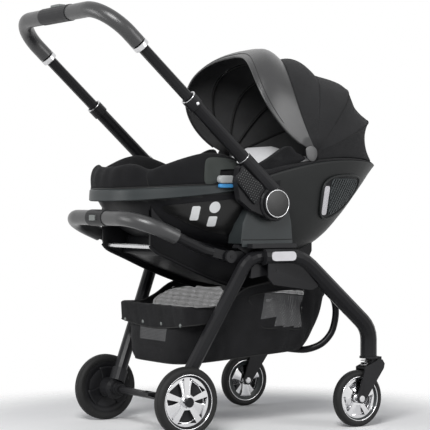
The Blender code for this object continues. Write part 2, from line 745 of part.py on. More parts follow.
def rear_axle():
    """The cross tube, with an axle stub and its end washer through each wheel."""
    stub_end = REAR_TRACK / 2 + REAR_TYRE_WIDTH * 0.52 + SEAT_GAP
    tube_end = HOUSING_INNER_Y + 0.012 - SEAT_GAP
    centre = REAR_TYRE_RADIUS
    profile = [(0.0105, stub_end + 0.004), (0.0125, stub_end + 0.002), (0.0125, stub_end),
               (AXLE_RADIUS, stub_end), (AXLE_RADIUS, tube_end), (AXLE_TUBE_RADIUS, tube_end)]
    rings = [[(r * math.cos(a), y, centre + r * math.sin(a))
              for a in np.linspace(0, math.tau, 12, endpoint=False)]
             for r, y in profile + [(r, -y) for r, y in reversed(profile)]]
    loft("rear_axle", rings, BLACK_TUBE, "rear_frame")


def brake_pedal():
    """The brake pedal behind the right housing: an arm from a ring round the axle tube."""
    y_low, y_high = -(HOUSING_INNER_Y - 0.0245), -(HOUSING_INNER_Y - 0.0385)
    bm = bmesh.new()
    cylinder(bm, (0.0, y_low, REAR_TYRE_RADIUS), (0.0, y_high, REAR_TYRE_RADIUS), 0.0150)
    mesh = mesh_from(bm, "brake_pedal")
    pedal = add_object("brake_pedal", mesh, BLACK_PLASTIC, "brake")
    toe_x = -PEDAL_LENGTH
    outline = rounded([(0.0, REAR_TYRE_RADIUS + 0.012), (toe_x, REAR_TYRE_RADIUS + 0.022),
                       (toe_x - 0.006, REAR_TYRE_RADIUS + 0.014), (-0.012, REAR_TYRE_RADIUS - 0.004)],
                      [0.0, 0.003, 0.003, 0.0])
    arm = outline_plate("brake_pedal_arm", outline, y_low + 0.0004, y_high - 0.0004, None, None,
                        collection=cutters)
    as_cutter(arm)
    modify(pedal, "UNION", arm)
    tread = box_mesh("brake_pedal_tread", (toe_x - 0.004, y_low - 0.020, REAR_TYRE_RADIUS + 0.0125),
                     (toe_x + 0.022, y_high + 0.020, REAR_TYRE_RADIUS + 0.0190))
    join(pedal, "brake_pedal_tread", tread)
    cut(pedal, "brake_pedal_bore",
        round_bar("brake_pedal_bore", (0.0, y_low - 0.01, REAR_TYRE_RADIUS),
                  (0.0, y_high + 0.01, REAR_TYRE_RADIUS), AXLE_TUBE_RADIUS + SEAT_GAP))


def reflectors():
    """The long reflectors, let into the outer sides of the arches; gives back their pocket."""
    half_length, half_height = 0.036, 0.0115
    low, high = ARCH_Y + FRONT_LEG_RADIUS * 0.80, ARCH_Y + FRONT_LEG_RADIUS + 0.0012
    x, z = 0.249, ARCH_HEIGHT + 0.001
    outline = rounded([(x - half_length, z - half_height), (x + half_length, z - half_height),
                       (x + half_length, z + half_height), (x - half_length, z + half_height)],
                      half_height * 0.98, 3)
    both_sides(outline_plate("reflector", outline, low, high, REFLECTOR, "front_frame"), "reflector")
    pocket = [(px + (px - x) * 0.010, pz + (pz - z) * 0.026) for px, pz in outline]
    hollow = outline_plate("reflector_pockets", pocket, low - SEAT_GAP, ARCH_Y + 0.04, None, None,
                           collection=cutters)
    return as_cutter(hollow)


def chassis():
    leg = as_mesh(tube("front_leg", front_leg_line(1.0), FRONT_LEG_RADIUS, BLACK_TUBE,
                       "front_frame", 4))
    web = outline_plate("arch_web", arch_web(), WEB_Y, WEB_Y + WEB_WALL, None, None,
                        collection=cutters)
    modify(leg, "UNION", as_cutter(web))
    cut(leg, "web_bore", y_bar("web_bore", (FOLD_X, 0.0, FOLD_HEIGHT), WEB_Y - 0.02, WEB_Y + 0.02,
                               PIN_RADIUS + SEAT_GAP))
    modify(leg, "DIFFERENCE", reflectors())
    both_sides(leg, "front_leg")
    rear_leg()
    seat_socket()
    brake_housing()
    rear_axle()
    brake_pedal()


def caster(side_name, side):
    """The swivel head, the trailing fork, its spring and the wheel bolt."""
    mid = side * FRONT_TRACK / 2
    top = LEG_FOOT_HEIGHT - SEAT_GAP
    inner = FRONT_TYRE_WIDTH / 2 + 0.0015
    head_half = inner - RUN_GAP
    name = "caster_head_" + side_name
    head = add_object(name, round_bar(name, (STEM_X, mid, top - FLANGE_WALL), (STEM_X, mid, top),
                                      FLANGE_RADIUS), BLACK_PLASTIC, "caster_" + side_name)
    neck_rear = SPRING_X + SPRING_RADIUS + SPRING_WIRE + 0.0035
    join(head, name + "_neck",
         box_mesh(name + "_neck", (neck_rear, mid - head_half, FORK_PIVOT_Z - 0.002),
                  (FORK_PIVOT_X + 0.010, mid + head_half, top - 0.0015)))
    join(head, name + "_boss",
         round_bar(name + "_boss", (FORK_PIVOT_X, mid - head_half + 0.0002, FORK_PIVOT_Z),
                   (FORK_PIVOT_X, mid + head_half - 0.0002, FORK_PIVOT_Z),
                   FORK_PIVOT_RADIUS))
    cut(head, name + "_bore",
        round_bar(name + "_bore", (FORK_PIVOT_X, mid - 0.03, FORK_PIVOT_Z),
                  (FORK_PIVOT_X, mid + 0.03, FORK_PIVOT_Z), PIN_RADIUS + SEAT_GAP, 12))

    name = "caster_fork_" + side_name
    axle, pivot = Vector((WHEELBASE, FRONT_TYRE_RADIUS)), Vector((FORK_PIVOT_X, FORK_PIVOT_Z))
    down = (axle - pivot).normalized()
    across = Vector((-down.y, down.x))
    head_r, foot_r = FORK_PIVOT_RADIUS + 0.0005, FORK_FOOT_RADIUS
    lobe_x = SPRING_X - SPRING_RADIUS - SPRING_WIRE - 0.002
    outline = []
    for angle in np.linspace(-90, 90, 5):
        a = math.radians(angle)
        outline.append(pivot - down * head_r * math.cos(a) + across * head_r * math.sin(a))
    if across.x < 0:
        outline += [Vector((lobe_x, BRIDGE_TOP)), Vector((lobe_x, BRIDGE_TOP - 0.009))]
    for angle in np.linspace(90, -90, 5):
        a = math.radians(angle)
        outline.append(axle + down * foot_r * math.cos(a) + across * foot_r * math.sin(a))
    if across.x > 0:
        outline += [Vector((lobe_x, BRIDGE_TOP - 0.009)), Vector((lobe_x, BRIDGE_TOP))]
    outline = [tuple(point) for point in outline]
    fork = None
    for cheek in (-1.0, 1.0):
        low, high = sorted((mid + cheek * inner, mid + cheek * (inner + FORK_WALL)))
        if fork is None:
            fork = outline_plate(name, outline, low, high, BLACK_PLASTIC, "fork_" + side_name)
        else:
            second = outline_plate(name + "_second", outline, low, high, None, None,
                                   collection=cutters)
            as_cutter(second)
            modify(fork, "UNION", second)
    bridge_front = neck_rear - RUN_GAP
    bridge = [(lobe_x + 0.0005, BRIDGE_TOP - 0.0045), (bridge_front, BRIDGE_TOP - 0.0085),
              (bridge_front, BRIDGE_TOP - 0.0004), (lobe_x + 0.0005, BRIDGE_TOP - 0.0004)]
    bridge_plate = outline_plate(name + "_bridge", bridge, mid - inner - FORK_WALL + 0.0003,
                                 mid + inner + FORK_WALL - 0.0003, None, None, collection=cutters)
    as_cutter(bridge_plate)
    modify(fork, "UNION", bridge_plate)
    join(fork, name + "_pin",
         round_bar(name + "_pin", (FORK_PIVOT_X, mid - inner - 0.002, FORK_PIVOT_Z),
                   (FORK_PIVOT_X, mid + inner + 0.002, FORK_PIVOT_Z), PIN_RADIUS, 12))
    cut(fork, name + "_axle_bore",
        round_bar(name + "_axle_bore", (WHEELBASE, mid - 0.04, FRONT_TYRE_RADIUS),
                  (WHEELBASE, mid + 0.04, FRONT_TYRE_RADIUS), AXLE_RADIUS + SEAT_GAP, 12))

    reach = inner + FORK_WALL + SEAT_GAP
    steps = np.linspace(0, math.tau, 12, endpoint=False)
    profile = [(0.0062, reach + 0.0036), (0.0085, reach + 0.0022), (0.0085, reach),
               (AXLE_RADIUS, reach)]
    rings = [[(WHEELBASE + r * math.cos(a), mid + y, FRONT_TYRE_RADIUS + r * math.sin(a))
              for a in steps] for r, y in profile + [(r, -y) for r, y in reversed(profile)]]
    loft("front_axle_" + side_name, rings, STEEL, "fork_" + side_name)

    low = BRIDGE_TOP + SPRING_WIRE + SEAT_GAP
    high = top - FLANGE_WALL - SPRING_WIRE - SEAT_GAP
    per_curl = 8
    count = SPRING_CURLS * per_curl
    points = []
    for step in range(count + 1):
        angle = math.tau * step / per_curl
        points.append((SPRING_X + SPRING_RADIUS * math.cos(angle),
                       mid + SPRING_RADIUS * math.sin(angle), low + (high - low) * step / count))
    tube("fork_spring_" + side_name, points, SPRING_WIRE, STEEL, "caster_" + side_name, 1)
    return (high - low) / SPRING_CURLS - 2 * SPRING_WIRE


# Carrier shell
def shell_ring(inset, height, lift=0.0, rise=0.0, count=24):
    """One ring of the bucket: its inset from the rim outline in plan and its share of the depth.
    The lift grows from nothing at the rim; the rise is the same all over."""
    ring = []
    half = SHELL_HALF_WIDTH - inset
    for angle in np.linspace(0, math.tau, count, endpoint=False):
        c, s = math.cos(angle), math.sin(angle)
        reach = (SHELL_HEAD_LENGTH if c > 0 else SHELL_FOOT_LENGTH) - inset
        swell = (abs(c) ** SHELL_POWER + abs(s) ** SHELL_POWER) ** (-1 / SHELL_POWER)
        x = SHELL_MID_X + reach * c * swell
        y = half * s * swell
        z = float(RIM_LINE(x)) * (1 - height) + float(KEEL_LINE(x)) * height
        z += lift * min(1.0, 2 * height) + rise
        ring.append((x, y, z))
    return ring


FOOT_TIP = SHELL_MID_X - SHELL_FOOT_LENGTH
HEAD_TIP = SHELL_MID_X + SHELL_HEAD_LENGTH
RIM_LINE = through([FOOT_TIP, 0.0, 0.10, 0.20, 0.30, 0.40, 0.50, 0.60, HEAD_TIP],
                   [0.600, 0.607, 0.612, 0.625, 0.650, 0.668, 0.674, 0.670, 0.660])
KEEL_LINE = through([FOOT_TIP, -0.100, -0.075, -0.030, 0.05, 0.15, 0.25, 0.33, 0.40, 0.46, 0.52,
                     0.58, 0.63, HEAD_TIP],
                    [0.588, 0.560, 0.530, 0.497, 0.470, 0.450, 0.436, 0.430, 0.440, 0.468, 0.515,
                     0.567, 0.612, 0.650])
SHELL_SECTION = [(0.000, 0.00), (0.003, 0.13), (0.012, 0.37), (0.028, 0.64), (0.056, 0.87),
                 (0.092, 0.975), (0.134, 1.00)]


def shell_block(name, swell):
    """A closed block of the shell's outer shape, swollen, to cut what stands against it."""
    rings = [shell_ring(inset - swell, height, -swell) for inset, height in SHELL_SECTION]
    rings.insert(0, [(x, y, z + 0.12) for x, y, z in rings[0]])
    obj = loft(name, rings, None, None, bowl=True)
    stroller.objects.unlink(obj)
    cutters.objects.link(obj)
    as_cutter(obj)
    return obj


def carrier():
    rings = [shell_ring(*pair) for pair in reversed(SHELL_SECTION)]
    rings.append(shell_ring(SHELL_WALL, 0.0))
    rings += [shell_ring(inset + SHELL_WALL, height, SHELL_WALL)
              for inset, height in SHELL_SECTION[1:]]
    shell = loft("seat_shell", rings, SHELL_PLASTIC, "carrier", bowl=True)
    ear_low = CANOPY_HALF_WIDTH + 0.0010
    for side_name, side in SIDES.items():
        ear = "canopy_ear_" + side_name
        outline = rounded([(CANOPY_X - 0.020, 0.640), (CANOPY_X + 0.020, 0.640),
                           (CANOPY_X + 0.0125, CANOPY_Z + 0.0125),
                           (CANOPY_X - 0.0125, CANOPY_Z + 0.0125)], [0.004, 0.004, 0.012, 0.012], 3)
        low, high = sorted((side * ear_low, side * (ear_low + 0.004)))
        plate = outline_plate(ear, outline, low, high, None, None, collection=cutters)
        modify(shell, "UNION", as_cutter(plate))
        low, high = sorted((side * (ear_low - 0.005), side * (ear_low + 0.0037)))
        ear_top = float(RIM_LINE(CANOPY_X - 0.018)) - 0.0005
        join(shell, ear + "_root", box_mesh(ear + "_root", (CANOPY_X - 0.016, low, 0.644),
                                            (CANOPY_X + 0.016, high, ear_top)))
        cut(shell, ear + "_bore", y_bar(ear + "_bore", (CANOPY_X, 0.0, CANOPY_Z),
                                        side * (ear_low - 0.002), side * (ear_low + 0.006),
                                        CANOPY_PIN_RADIUS + SEAT_GAP, 12))
    outline = rounded([(-0.052, 0.520), (-0.052, 0.456), (0.010, 0.427), (0.080, 0.396),
                       (0.160, 0.366), (0.225, 0.347), (0.290, 0.340), (0.350, 0.354),
                       (0.400, 0.395), (0.430, 0.440), (0.430, 0.520)],
                      [0.0, 0.012, 0.0, 0.0, 0.0, 0.0, 0.0, 0.0, 0.0, 0.010, 0.0], 2)
    sunk = shell_block("shell_core", -SHELL_WALL / 2)
    for side_name, side in SIDES.items():
        low, high = sorted((side * (ROCKER_Y - ROCKER_WALL / 2), side * (ROCKER_Y + ROCKER_WALL / 2)))
        rail = outline_plate("rocker_" + side_name, outline, low, high, None, None,
                             collection=cutters)
        modify(shell, "UNION", as_cutter(modify(rail, "DIFFERENCE", sunk)))
        cut(shell, "rod_bore_" + side_name,
            y_bar("rod_bore_" + side_name, (ROD_X, 0.0, ROD_Z), low - 0.001, high + 0.001,
                  ROD_RADIUS + SEAT_GAP, 12))

    near = shell_block("shell_clearance", SEAT_GAP)
    hub = Vector((HUB_X, HUB_Z))
    foot = SHELF_TOP + SEAT_GAP
    outline = [(0.300, foot), (0.296, foot + 0.05)]
    for angle in np.linspace(10, 170, 12):
        a = math.radians(angle)
        outline.append((hub.x + 0.052 * math.cos(a), hub.y + 0.050 * math.sin(a)))
    outline += [(0.152, foot + 0.05), (0.146, foot)]
    casing = outline_plate("side_casings", outline, 0.165, HUB_INNER_Y - RUN_GAP, CASING_PLASTIC,
                           "carrier")
    modify(casing, "DIFFERENCE", near)
    join(casing, "casing_tongue", box_mesh("casing_tongue", (TONGUE_REAR, TONGUE_IN, TONGUE_END),
                                           (TONGUE_FRONT, TONGUE_OUT, foot + 0.006)))
    join(casing, "casing_spindle", y_bar("casing_spindle", (HUB_X, 0.0, HUB_Z), HUB_INNER_Y - 0.004,
                                         SPINDLE_END, SPINDLE_RADIUS))
    both_sides(casing, "side_casing")
    rod_end = ROCKER_Y + ROCKER_WALL / 2 + 0.002
    rod = y_bar("carry_rod", (ROD_X, 0.0, ROD_Z), -rod_end, rod_end, ROD_RADIUS, 12)
    add_object("carry_rod", rod, STEEL, "carrier")


def vent_grilles():
    """The louvred vents on the head end's sides, which follow the shell."""
    outer = shell_block("vent_outer", 0.0030)
    inner = shell_block("vent_inner", SEAT_GAP)
    corners = [(0.418, 0.628), (0.423, 0.560), (0.447, 0.531), (0.500, 0.560), (0.552, 0.625),
               (0.530, 0.642), (0.455, 0.644)]
    outline = rounded(corners, 0.012, 2)
    vent = outline_plate("vent_grilles", outline, 0.090, 0.235, BLACK_PLASTIC, "carrier")
    modify(vent, "INTERSECT", outer)
    modify(vent, "DIFFERENCE", inner)
    bm = bmesh.new()
    slant = math.radians(52)
    for row in range(6):
        centre = Vector((0.450 + 0.0145 * row, 0.16, 0.579 + 0.0060 * row))
        half_length = 0.018 + 0.004 * min(row, 3) - 0.003 * max(0, row - 4)
        matrix = (Matrix.Translation(centre) @ Matrix.Rotation(-slant, 4, "Y")
                  @ Matrix.Diagonal((half_length * 2, 0.16, 0.0030, 1.0)))
        bmesh.ops.create_cube(bm, size=1.0, matrix=matrix)
    cut(vent, "vent_slots", mesh_from(bm, "vent_slots"))
    both_sides(vent, "vent_grille")


def liner_lift(x):
    """How far the liner's padded edge stands above the rim: high beside the legs, low at the head."""
    return float(LINER_EDGE(x))


LINER_EDGE = through([FOOT_TIP, -0.08, 0.0, 0.075, 0.16, 0.22, 0.30, 0.50, HEAD_TIP],
                     [0.060, 0.062, 0.066, 0.078, 0.052, 0.020, 0.010, 0.006, 0.005])


def edge_ring(inset, share, base):
    """A ring of the liner's edge, a share of its height above the rim."""
    return [(x, y, z + base + share * max(0.0, liner_lift(x) - base))
            for x, y, z in shell_ring(inset, 0.0)]


def seat_liner():
    """The padded liner: it lies in the shell, rests on the rim and stands up as a soft roll."""
    rings = [shell_ring(inset + LINER_LIFT, height, LINER_LIFT)
             for inset, height in (SHELL_SECTION[6], SHELL_SECTION[5], SHELL_SECTION[3],
                                   SHELL_SECTION[2], SHELL_SECTION[1])]
    rings.append(shell_ring(LINER_LIFT, 0.02, 0.0))
    rings.append(shell_ring(LINER_LIFT, 0.0, rise=0.0008))
    rings.append(edge_ring(0.0005, 0.03, 0.0008))
    rings.append(edge_ring(0.001, 0.75, 0.0012))
    rings.append(edge_ring(0.012, 1.00, 0.0016))
    rings.append(edge_ring(0.028, 0.90, 0.0014))
    rings.append(edge_ring(0.035, 0.55, 0.0012))
    for inset, height in SHELL_SECTION[2:]:
        rings.append(shell_ring(inset + LINER_PAD + LINER_LIFT + 0.008, height * 0.97, LINER_PAD))
    loft("seat_liner", rings, FABRIC, "carrier", 180, bowl=True)


def liner_hollow(name, gap):
    """A closed block that fills the liner's hollow but for a gap, to shape what lies in it."""
    rings = [shell_ring(inset + LINER_PAD + LINER_LIFT + 0.008 + gap, height * 0.97, LINER_PAD + gap)
             for inset, height in SHELL_SECTION[2:]]
    rings.insert(0, [(x, y, z + 0.15) for x, y, z in rings[0]])
    obj = loft(name, rings, None, None, bowl=True)
    stroller.objects.unlink(obj)
    cutters.objects.link(obj)
    return as_cutter(obj)


def newborn_insert():
    """The pale cushion for a newborn, crowned, lying in the liner against the head end."""
    rings = []
    for share, lift in ((1.0, -0.060), (1.0, 0.000), (0.94, 0.011), (0.76, 0.019), (0.42, 0.024)):
        ring = []
        for angle in np.linspace(0, math.tau, 20, endpoint=False):
            c, s = math.cos(angle), math.sin(angle)
            x = INSERT_X + INSERT_LENGTH * share * math.copysign(abs(c) ** 0.85, c)
            y = INSERT_HALF * share * math.copysign(abs(s) ** 0.85, s)
            ring.append((x, y, float(INSERT_TOP(x)) + 0.55 * (y / INSERT_HALF) ** 2 * 0.060 + lift))
        rings.append(ring)
    insert = loft("newborn_insert", rings, INSERT_FABRIC, "carrier", 180, bowl=True)
    modify(insert, "INTERSECT", liner_hollow("insert_bed", SEAT_GAP * 2))


INSERT_TOP = through([0.25, 0.33, 0.40, 0.46, 0.52, 0.58], [0.505, 0.503, 0.512, 0.536, 0.575, 0.620])


def harness():
    """The buckle of the harness, lying on the liner."""
    mesh = box_mesh("harness_buckle", (0.070, -0.024, BUCKLE_Z - 0.030), (0.130, 0.024, BUCKLE_Z))
    buckle = add_object("harness_buckle", mesh, BLACK_PLASTIC, "carrier")
    edge = buckle.modifiers.new("edge", "BEVEL")
    edge.width = 0.005
    edge.segments = 1
    modify(buckle, "INTERSECT", liner_hollow("buckle_bed", SEAT_GAP))


def belt_guides():
    """The hooked guides on the rim, each with the gap that a car's belt lies in."""
    x, z = 0.118, float(RIM_LINE(0.118))
    corners = [(x - 0.034, z - 0.020), (x + 0.030, z - 0.020), (x + 0.038, z + 0.016),
               (x - 0.002, z + 0.016), (x - 0.002, z + 0.030), (x + 0.030, z + 0.032),
               (x + 0.026, z + 0.052), (x - 0.036, z + 0.056)]
    outline = rounded(corners, [0.004, 0.004, 0.004, 0.006, 0.006, 0.004, 0.008, 0.008], 3)
    guide = outline_plate("belt_guide", outline, SHELL_HALF_WIDTH - 0.017, HUB_INNER_Y - RUN_GAP,
                          GREY_PLASTIC, "carrier")
    modify(guide, "DIFFERENCE", shell_block("guide_clearance", SEAT_GAP))
    both_sides(guide, "belt_guide")


lean = math.radians(HANDLE_LEAN)
ALONG = Vector((-math.cos(lean), 0.0, math.sin(lean)))
ABOVE = Vector((math.sin(lean), 0.0, math.cos(lean)))


def on_handle(distance, y, above=TUBE_LINE):
    """A point on the handle: distance from the hub, Y, and height above the hub's own line."""
    return Vector((HUB_X, y, HUB_Z)) + ALONG * distance + ABOVE * above


def drum(name, mat, body_name, profile, steps=20):
    """A round piece about the hub axis from (radius, y) rings, filled at both ends."""
    angles = np.linspace(0, math.tau, steps, endpoint=False)
    rings = [[(HUB_X + r * math.cos(a), y, HUB_Z + r * math.sin(a)) for a in angles]
             for r, y in profile]
    return loft(name, rings, mat, body_name)


def handle_arm():
    """The arm housings: hub drum, tube socket and side flange in one moulding."""
    outer = ARM_OUTER_Y
    hub_axis = (HUB_X, 0.0, HUB_Z)
    arm = drum("handle_arm", BLACK_PLASTIC, "handle",
               [(HUB_RADIUS, HUB_INNER_Y), (HUB_RADIUS, outer - 0.003), (HUB_RADIUS - 0.003, outer)])
    corners = []
    for distance, above in ((-0.005, 0.030), (0.060, 0.012), (0.130, 0.012), (0.137, -0.004),
                            (0.118, -0.034), (0.080, -0.062), (0.040, -0.058), (0.0, -0.0425)):
        point = on_handle(distance, 0.0, above)
        corners.append((point.x, point.z))
    outline = rounded(corners, [0.0, 0.0, 0.004, 0.006, 0.012, 0.012, 0.014, 0.0], 2)
    plate = outline_plate("arm_flange", outline, HUB_INNER_Y + 0.0008, outer - 0.0055, None, None,
                          0.002, cutters)
    modify(arm, "UNION", as_cutter(plate))
    join(arm, "arm_socket", round_bar("arm_socket", on_handle(SOCKET_START, HANDLE_Y),
                                      on_handle(SOCKET_END, HANDLE_Y), SOCKET_RADIUS))
    cut(arm, "arm_trim", box_mesh("arm_trim", (HUB_X - 0.25, HUB_INNER_Y - 0.03, HUB_Z - 0.2),
                                  (HUB_X + 0.25, HUB_INNER_Y + 0.0003, HUB_Z + 0.3)))
    cut(arm, "arm_tube_bore",
        round_bar("arm_tube_bore", on_handle(LOWER_TUBE_START - SEAT_GAP, HANDLE_Y),
                  on_handle(SOCKET_END + 0.02, HANDLE_Y), LOWER_TUBE_RADIUS + SEAT_GAP, 20))
    cut(arm, "arm_cap_recess", y_bar("arm_cap_recess", hub_axis, outer - CAP_RECESS, outer + 0.020,
                                     CAP_RADIUS + RUN_GAP, 20))
    cut(arm, "arm_spindle_bore", y_bar("arm_spindle_bore", hub_axis, HUB_INNER_Y - 0.01,
                                       SPINDLE_END + SEAT_GAP, SPINDLE_RADIUS + SEAT_GAP))
    both_sides(arm, "handle_arm")
    inner = outer - CAP_RECESS + BUTTON_TRAVEL + SEAT_GAP
    for side_name, side in SIDES.items():
        profile = [(CAP_RADIUS, side * inner), (CAP_RADIUS, side * (CAP_OUTER_Y - 0.0015)),
                   (CAP_RADIUS - 0.0015, side * CAP_OUTER_Y),
                   (CAP_RADIUS - 0.0045, side * (CAP_OUTER_Y - 0.0010))]
        drum("hub_button_" + side_name, BLACK_PLASTIC, "hub_button_" + side_name, profile)


def lower_tubes():
    """The outer handle tubes, hollow from the mouth, with collars that guide the inner ones."""
    start, end = LOWER_TUBE_START, LOWER_TUBE_END
    collar = 0.0195
    bore = UPPER_TUBE_RADIUS + 0.0004
    profile = [(LOWER_TUBE_RADIUS, start), (LOWER_TUBE_RADIUS, end - 0.030), (collar, end - 0.0285),
               (collar, end - 0.0015), (collar - 0.0015, end), (bore, end), (bore, start + 0.012)]
    steps = np.linspace(0, math.tau, 16, endpoint=False)
    rings = []
    for radius, distance in profile:
        centre = on_handle(distance, HANDLE_Y)
        rings.append([centre + ABOVE * radius * math.cos(a)
                      + Vector((0.0, radius * math.sin(a), 0.0)) for a in steps])
    both_sides(loft("lower_tube", rings, BLACK_TUBE, "handle"), "lower_tube")


def handle_top():
    """The inner tubes and cross bar in one bent tube, the wrapped grip, the rings and the switch."""
    start = LOWER_TUBE_END - INNER_TUBE_HELD
    corners = [on_handle(start, HANDLE_Y), on_handle(HANDLE_LENGTH, HANDLE_Y),
               on_handle(HANDLE_LENGTH, -HANDLE_Y), on_handle(start, -HANDLE_Y)]
    bar = as_mesh(tube("handle_tube", bent_path(corners, HANDLE_BEND, 4), UPPER_TUBE_RADIUS,
                       BLACK_TUBE, "handle_top", 3))
    for side_name, side in SIDES.items():
        join(bar, "ring_" + side_name,
             round_bar("ring_" + side_name, on_handle(RING_AT - RING_HALF, side * HANDLE_Y),
                       on_handle(RING_AT + RING_HALF, side * HANDLE_Y), GRIP_RADIUS, 12))
    corners[0] = on_handle(RING_AT + RING_HALF + SEAT_GAP, HANDLE_Y)
    corners[3] = on_handle(RING_AT + RING_HALF + SEAT_GAP, -HANDLE_Y)
    grip = sleeve("handle_grip", bent_path(corners, HANDLE_BEND, 4), GRIP_RADIUS,
                  UPPER_TUBE_RADIUS + SEAT_GAP * 2, LEATHER, "handle_top")
    centre = on_handle(HANDLE_LENGTH, 0.0)
    housing = y_bar("handle_switch_housing", centre, -SWITCH_HALF, SWITCH_HALF,
                    GRIP_RADIUS + SWITCH_WALL, 20)
    switch = add_object("handle_switch_housing", housing, BLACK_PLASTIC, "handle_top")
    cut(switch, "switch_bore", y_bar("switch_bore", centre, -0.1, 0.1, GRIP_RADIUS + SEAT_GAP, 20))
    pocket = box_mesh("switch_pocket",
                      centre + Vector((-RELEASE_WIDTH - RUN_GAP, -RELEASE_HALF - RUN_GAP,
                                       UPPER_TUBE_RADIUS - 0.003)),
                      centre + Vector((RELEASE_WIDTH + RUN_GAP, RELEASE_HALF + RUN_GAP, 0.030)))
    hollow = cutter("switch_pocket", pocket)
    modify(switch, "DIFFERENCE", hollow)
    modify(grip, "DIFFERENCE", hollow)
    low = UPPER_TUBE_RADIUS + 0.0010 + RELEASE_TRAVEL
    button = add_object("handle_release",
                        box_mesh("handle_release",
                                 centre + Vector((-RELEASE_WIDTH, -RELEASE_HALF, low)),
                                 centre + Vector((RELEASE_WIDTH, RELEASE_HALF,
                                                  GRIP_RADIUS + SWITCH_WALL + RELEASE_TRAVEL))),
                        GREY_PLASTIC, "handle_release")
    edge = button.modifiers.new("edge", "BEVEL")
    edge.width = 0.0008
    edge.segments = 1


# Grab bar
def grab_bar():
    """The bar at the foot end: a bent tube with eyes at its pivots, a wrapped grip and a switch."""
    knee_x, knee_z = 0.055, BAR_PIVOT_Z + 0.018
    start = (BAR_PIVOT_X - 0.008, BAR_Y - 0.0005, BAR_PIVOT_Z + 0.0015)
    knee = (knee_x, BAR_Y - 0.0005, knee_z)
    front = (BAR_FRONT_X, BAR_Y - 0.0005, BAR_FRONT_Z)
    corners = [start, knee, front] + mirrored([front, knee, start], -1)
    path = bent_path(corners, [0.09, BAR_BEND, BAR_BEND, 0.09], [2, 4, 4, 2])
    bar = as_mesh(tube("grab_bar_tube", path, BAR_RADIUS, BLACK_TUBE, "grab_bar", 3))
    axis = (BAR_PIVOT_X, 0.0, BAR_PIVOT_Z)
    for side_name, side in SIDES.items():
        outer = side * (BAR_Y + EYE_HALF)
        cut(bar, "bar_trim_" + side_name,
            y_bar("bar_trim_" + side_name, axis, outer - side * 0.0006, outer + side * 0.02, 0.05, 16))
        join(bar, "bar_eye_" + side_name,
             y_bar("bar_eye_" + side_name, axis, side * (BAR_Y - EYE_HALF), outer, EYE_RADIUS))
        join(bar, "bar_pin_" + side_name,
             y_bar("bar_pin_" + side_name, axis, outer - side * 0.002,
                   side * (SOCKET_OUT_Y + 0.001), PIN_RADIUS, 12))

    def along(x):
        return tuple(Vector(knee).lerp(Vector(front), (knee_x - x) / (knee_x - BAR_FRONT_X)))

    grip_end = along(BAR_GRIP_BACK_X)
    corners = [grip_end, front] + mirrored([front, grip_end], -1)
    grip = sleeve("grab_grip", bent_path(corners, BAR_BEND, 4), BAR_GRIP_RADIUS,
                  BAR_RADIUS + SEAT_GAP * 2, LEATHER, "grab_bar")
    centre = Vector((BAR_FRONT_X, 0.0, BAR_FRONT_Z))
    housing = add_object("grab_switch_housing",
                         y_bar("grab_switch_housing", centre, -BAR_SWITCH_HALF, BAR_SWITCH_HALF,
                               BAR_GRIP_RADIUS + SWITCH_WALL, 20), BLACK_PLASTIC, "grab_bar")
    cut(housing, "grab_switch_bore",
        y_bar("grab_switch_bore", centre, -0.1, 0.1, BAR_GRIP_RADIUS + SEAT_GAP, 20))
    hollow = cutter("grab_switch_pocket",
                    box_mesh("grab_switch_pocket",
                             centre + Vector((-0.030, -0.014 - RUN_GAP, -0.007 - RUN_GAP)),
                             centre + Vector((-BAR_RADIUS + 0.003, 0.014 + RUN_GAP,
                                              0.007 + RUN_GAP))))
    modify(housing, "DIFFERENCE", hollow)
    modify(grip, "DIFFERENCE", hollow)
    outer = BAR_GRIP_RADIUS + SWITCH_WALL + BAR_TRAVEL
    button = add_object("grab_release",
                        box_mesh("grab_release", centre + Vector((-outer, -0.014, -0.007)),
                                 centre + Vector((-BAR_RADIUS - 0.0010 - BAR_TRAVEL, 0.014, 0.007))),
                        GREY_PLASTIC, "grab_bar_release")
    edge = button.modifiers.new("edge", "BEVEL")
    edge.width = 0.0008
    edge.segments = 1


# Canopy
CANOPY_FIRST = {"canopy_front": (114.0, 86.0), "canopy_second": (87.0, 66.0),
                "canopy_third": (67.0, 42.5), "canopy_fourth": (43.5, 23.5),
                "carrier": (24.5, -3.0)}
TAIL_FLARE = 0.075              # share by which the tail widens from its waist down to its hem
TAIL_WAIST = math.radians(6.0)


def hood_profile(shrink, count=8):
    """Half section of the hood in (radius, y): from the pivot at the side over to the crest."""
    half, height = CANOPY_HALF_WIDTH - shrink, CANOPY_RADIUS - shrink
    points = []
    for step in range(count + 1):
        angle = math.pi * (step / count - 0.5)
        y = half * math.copysign(abs(math.sin(angle)) ** 0.72, math.sin(angle))
        radius = height * max(0.0, math.cos(angle)) ** 0.62
        points.append((max(radius, (CANOPY_PIN_RADIUS + CANOPY_EYE_RADIUS) / 2), y))
    return points


def hem(x, y, z):
    """A point of the tail's lower edge, let down onto the liner's edge away from the pivots."""
    rest = float(RIM_LINE(x)) + liner_lift(x) + HEM_GAP
    share = min(1.0, max(0.0, (x - CANOPY_X - CANOPY_EYE_RADIUS) / 0.040))
    return x, y, z * (1 - share) + min(z, rest) * share


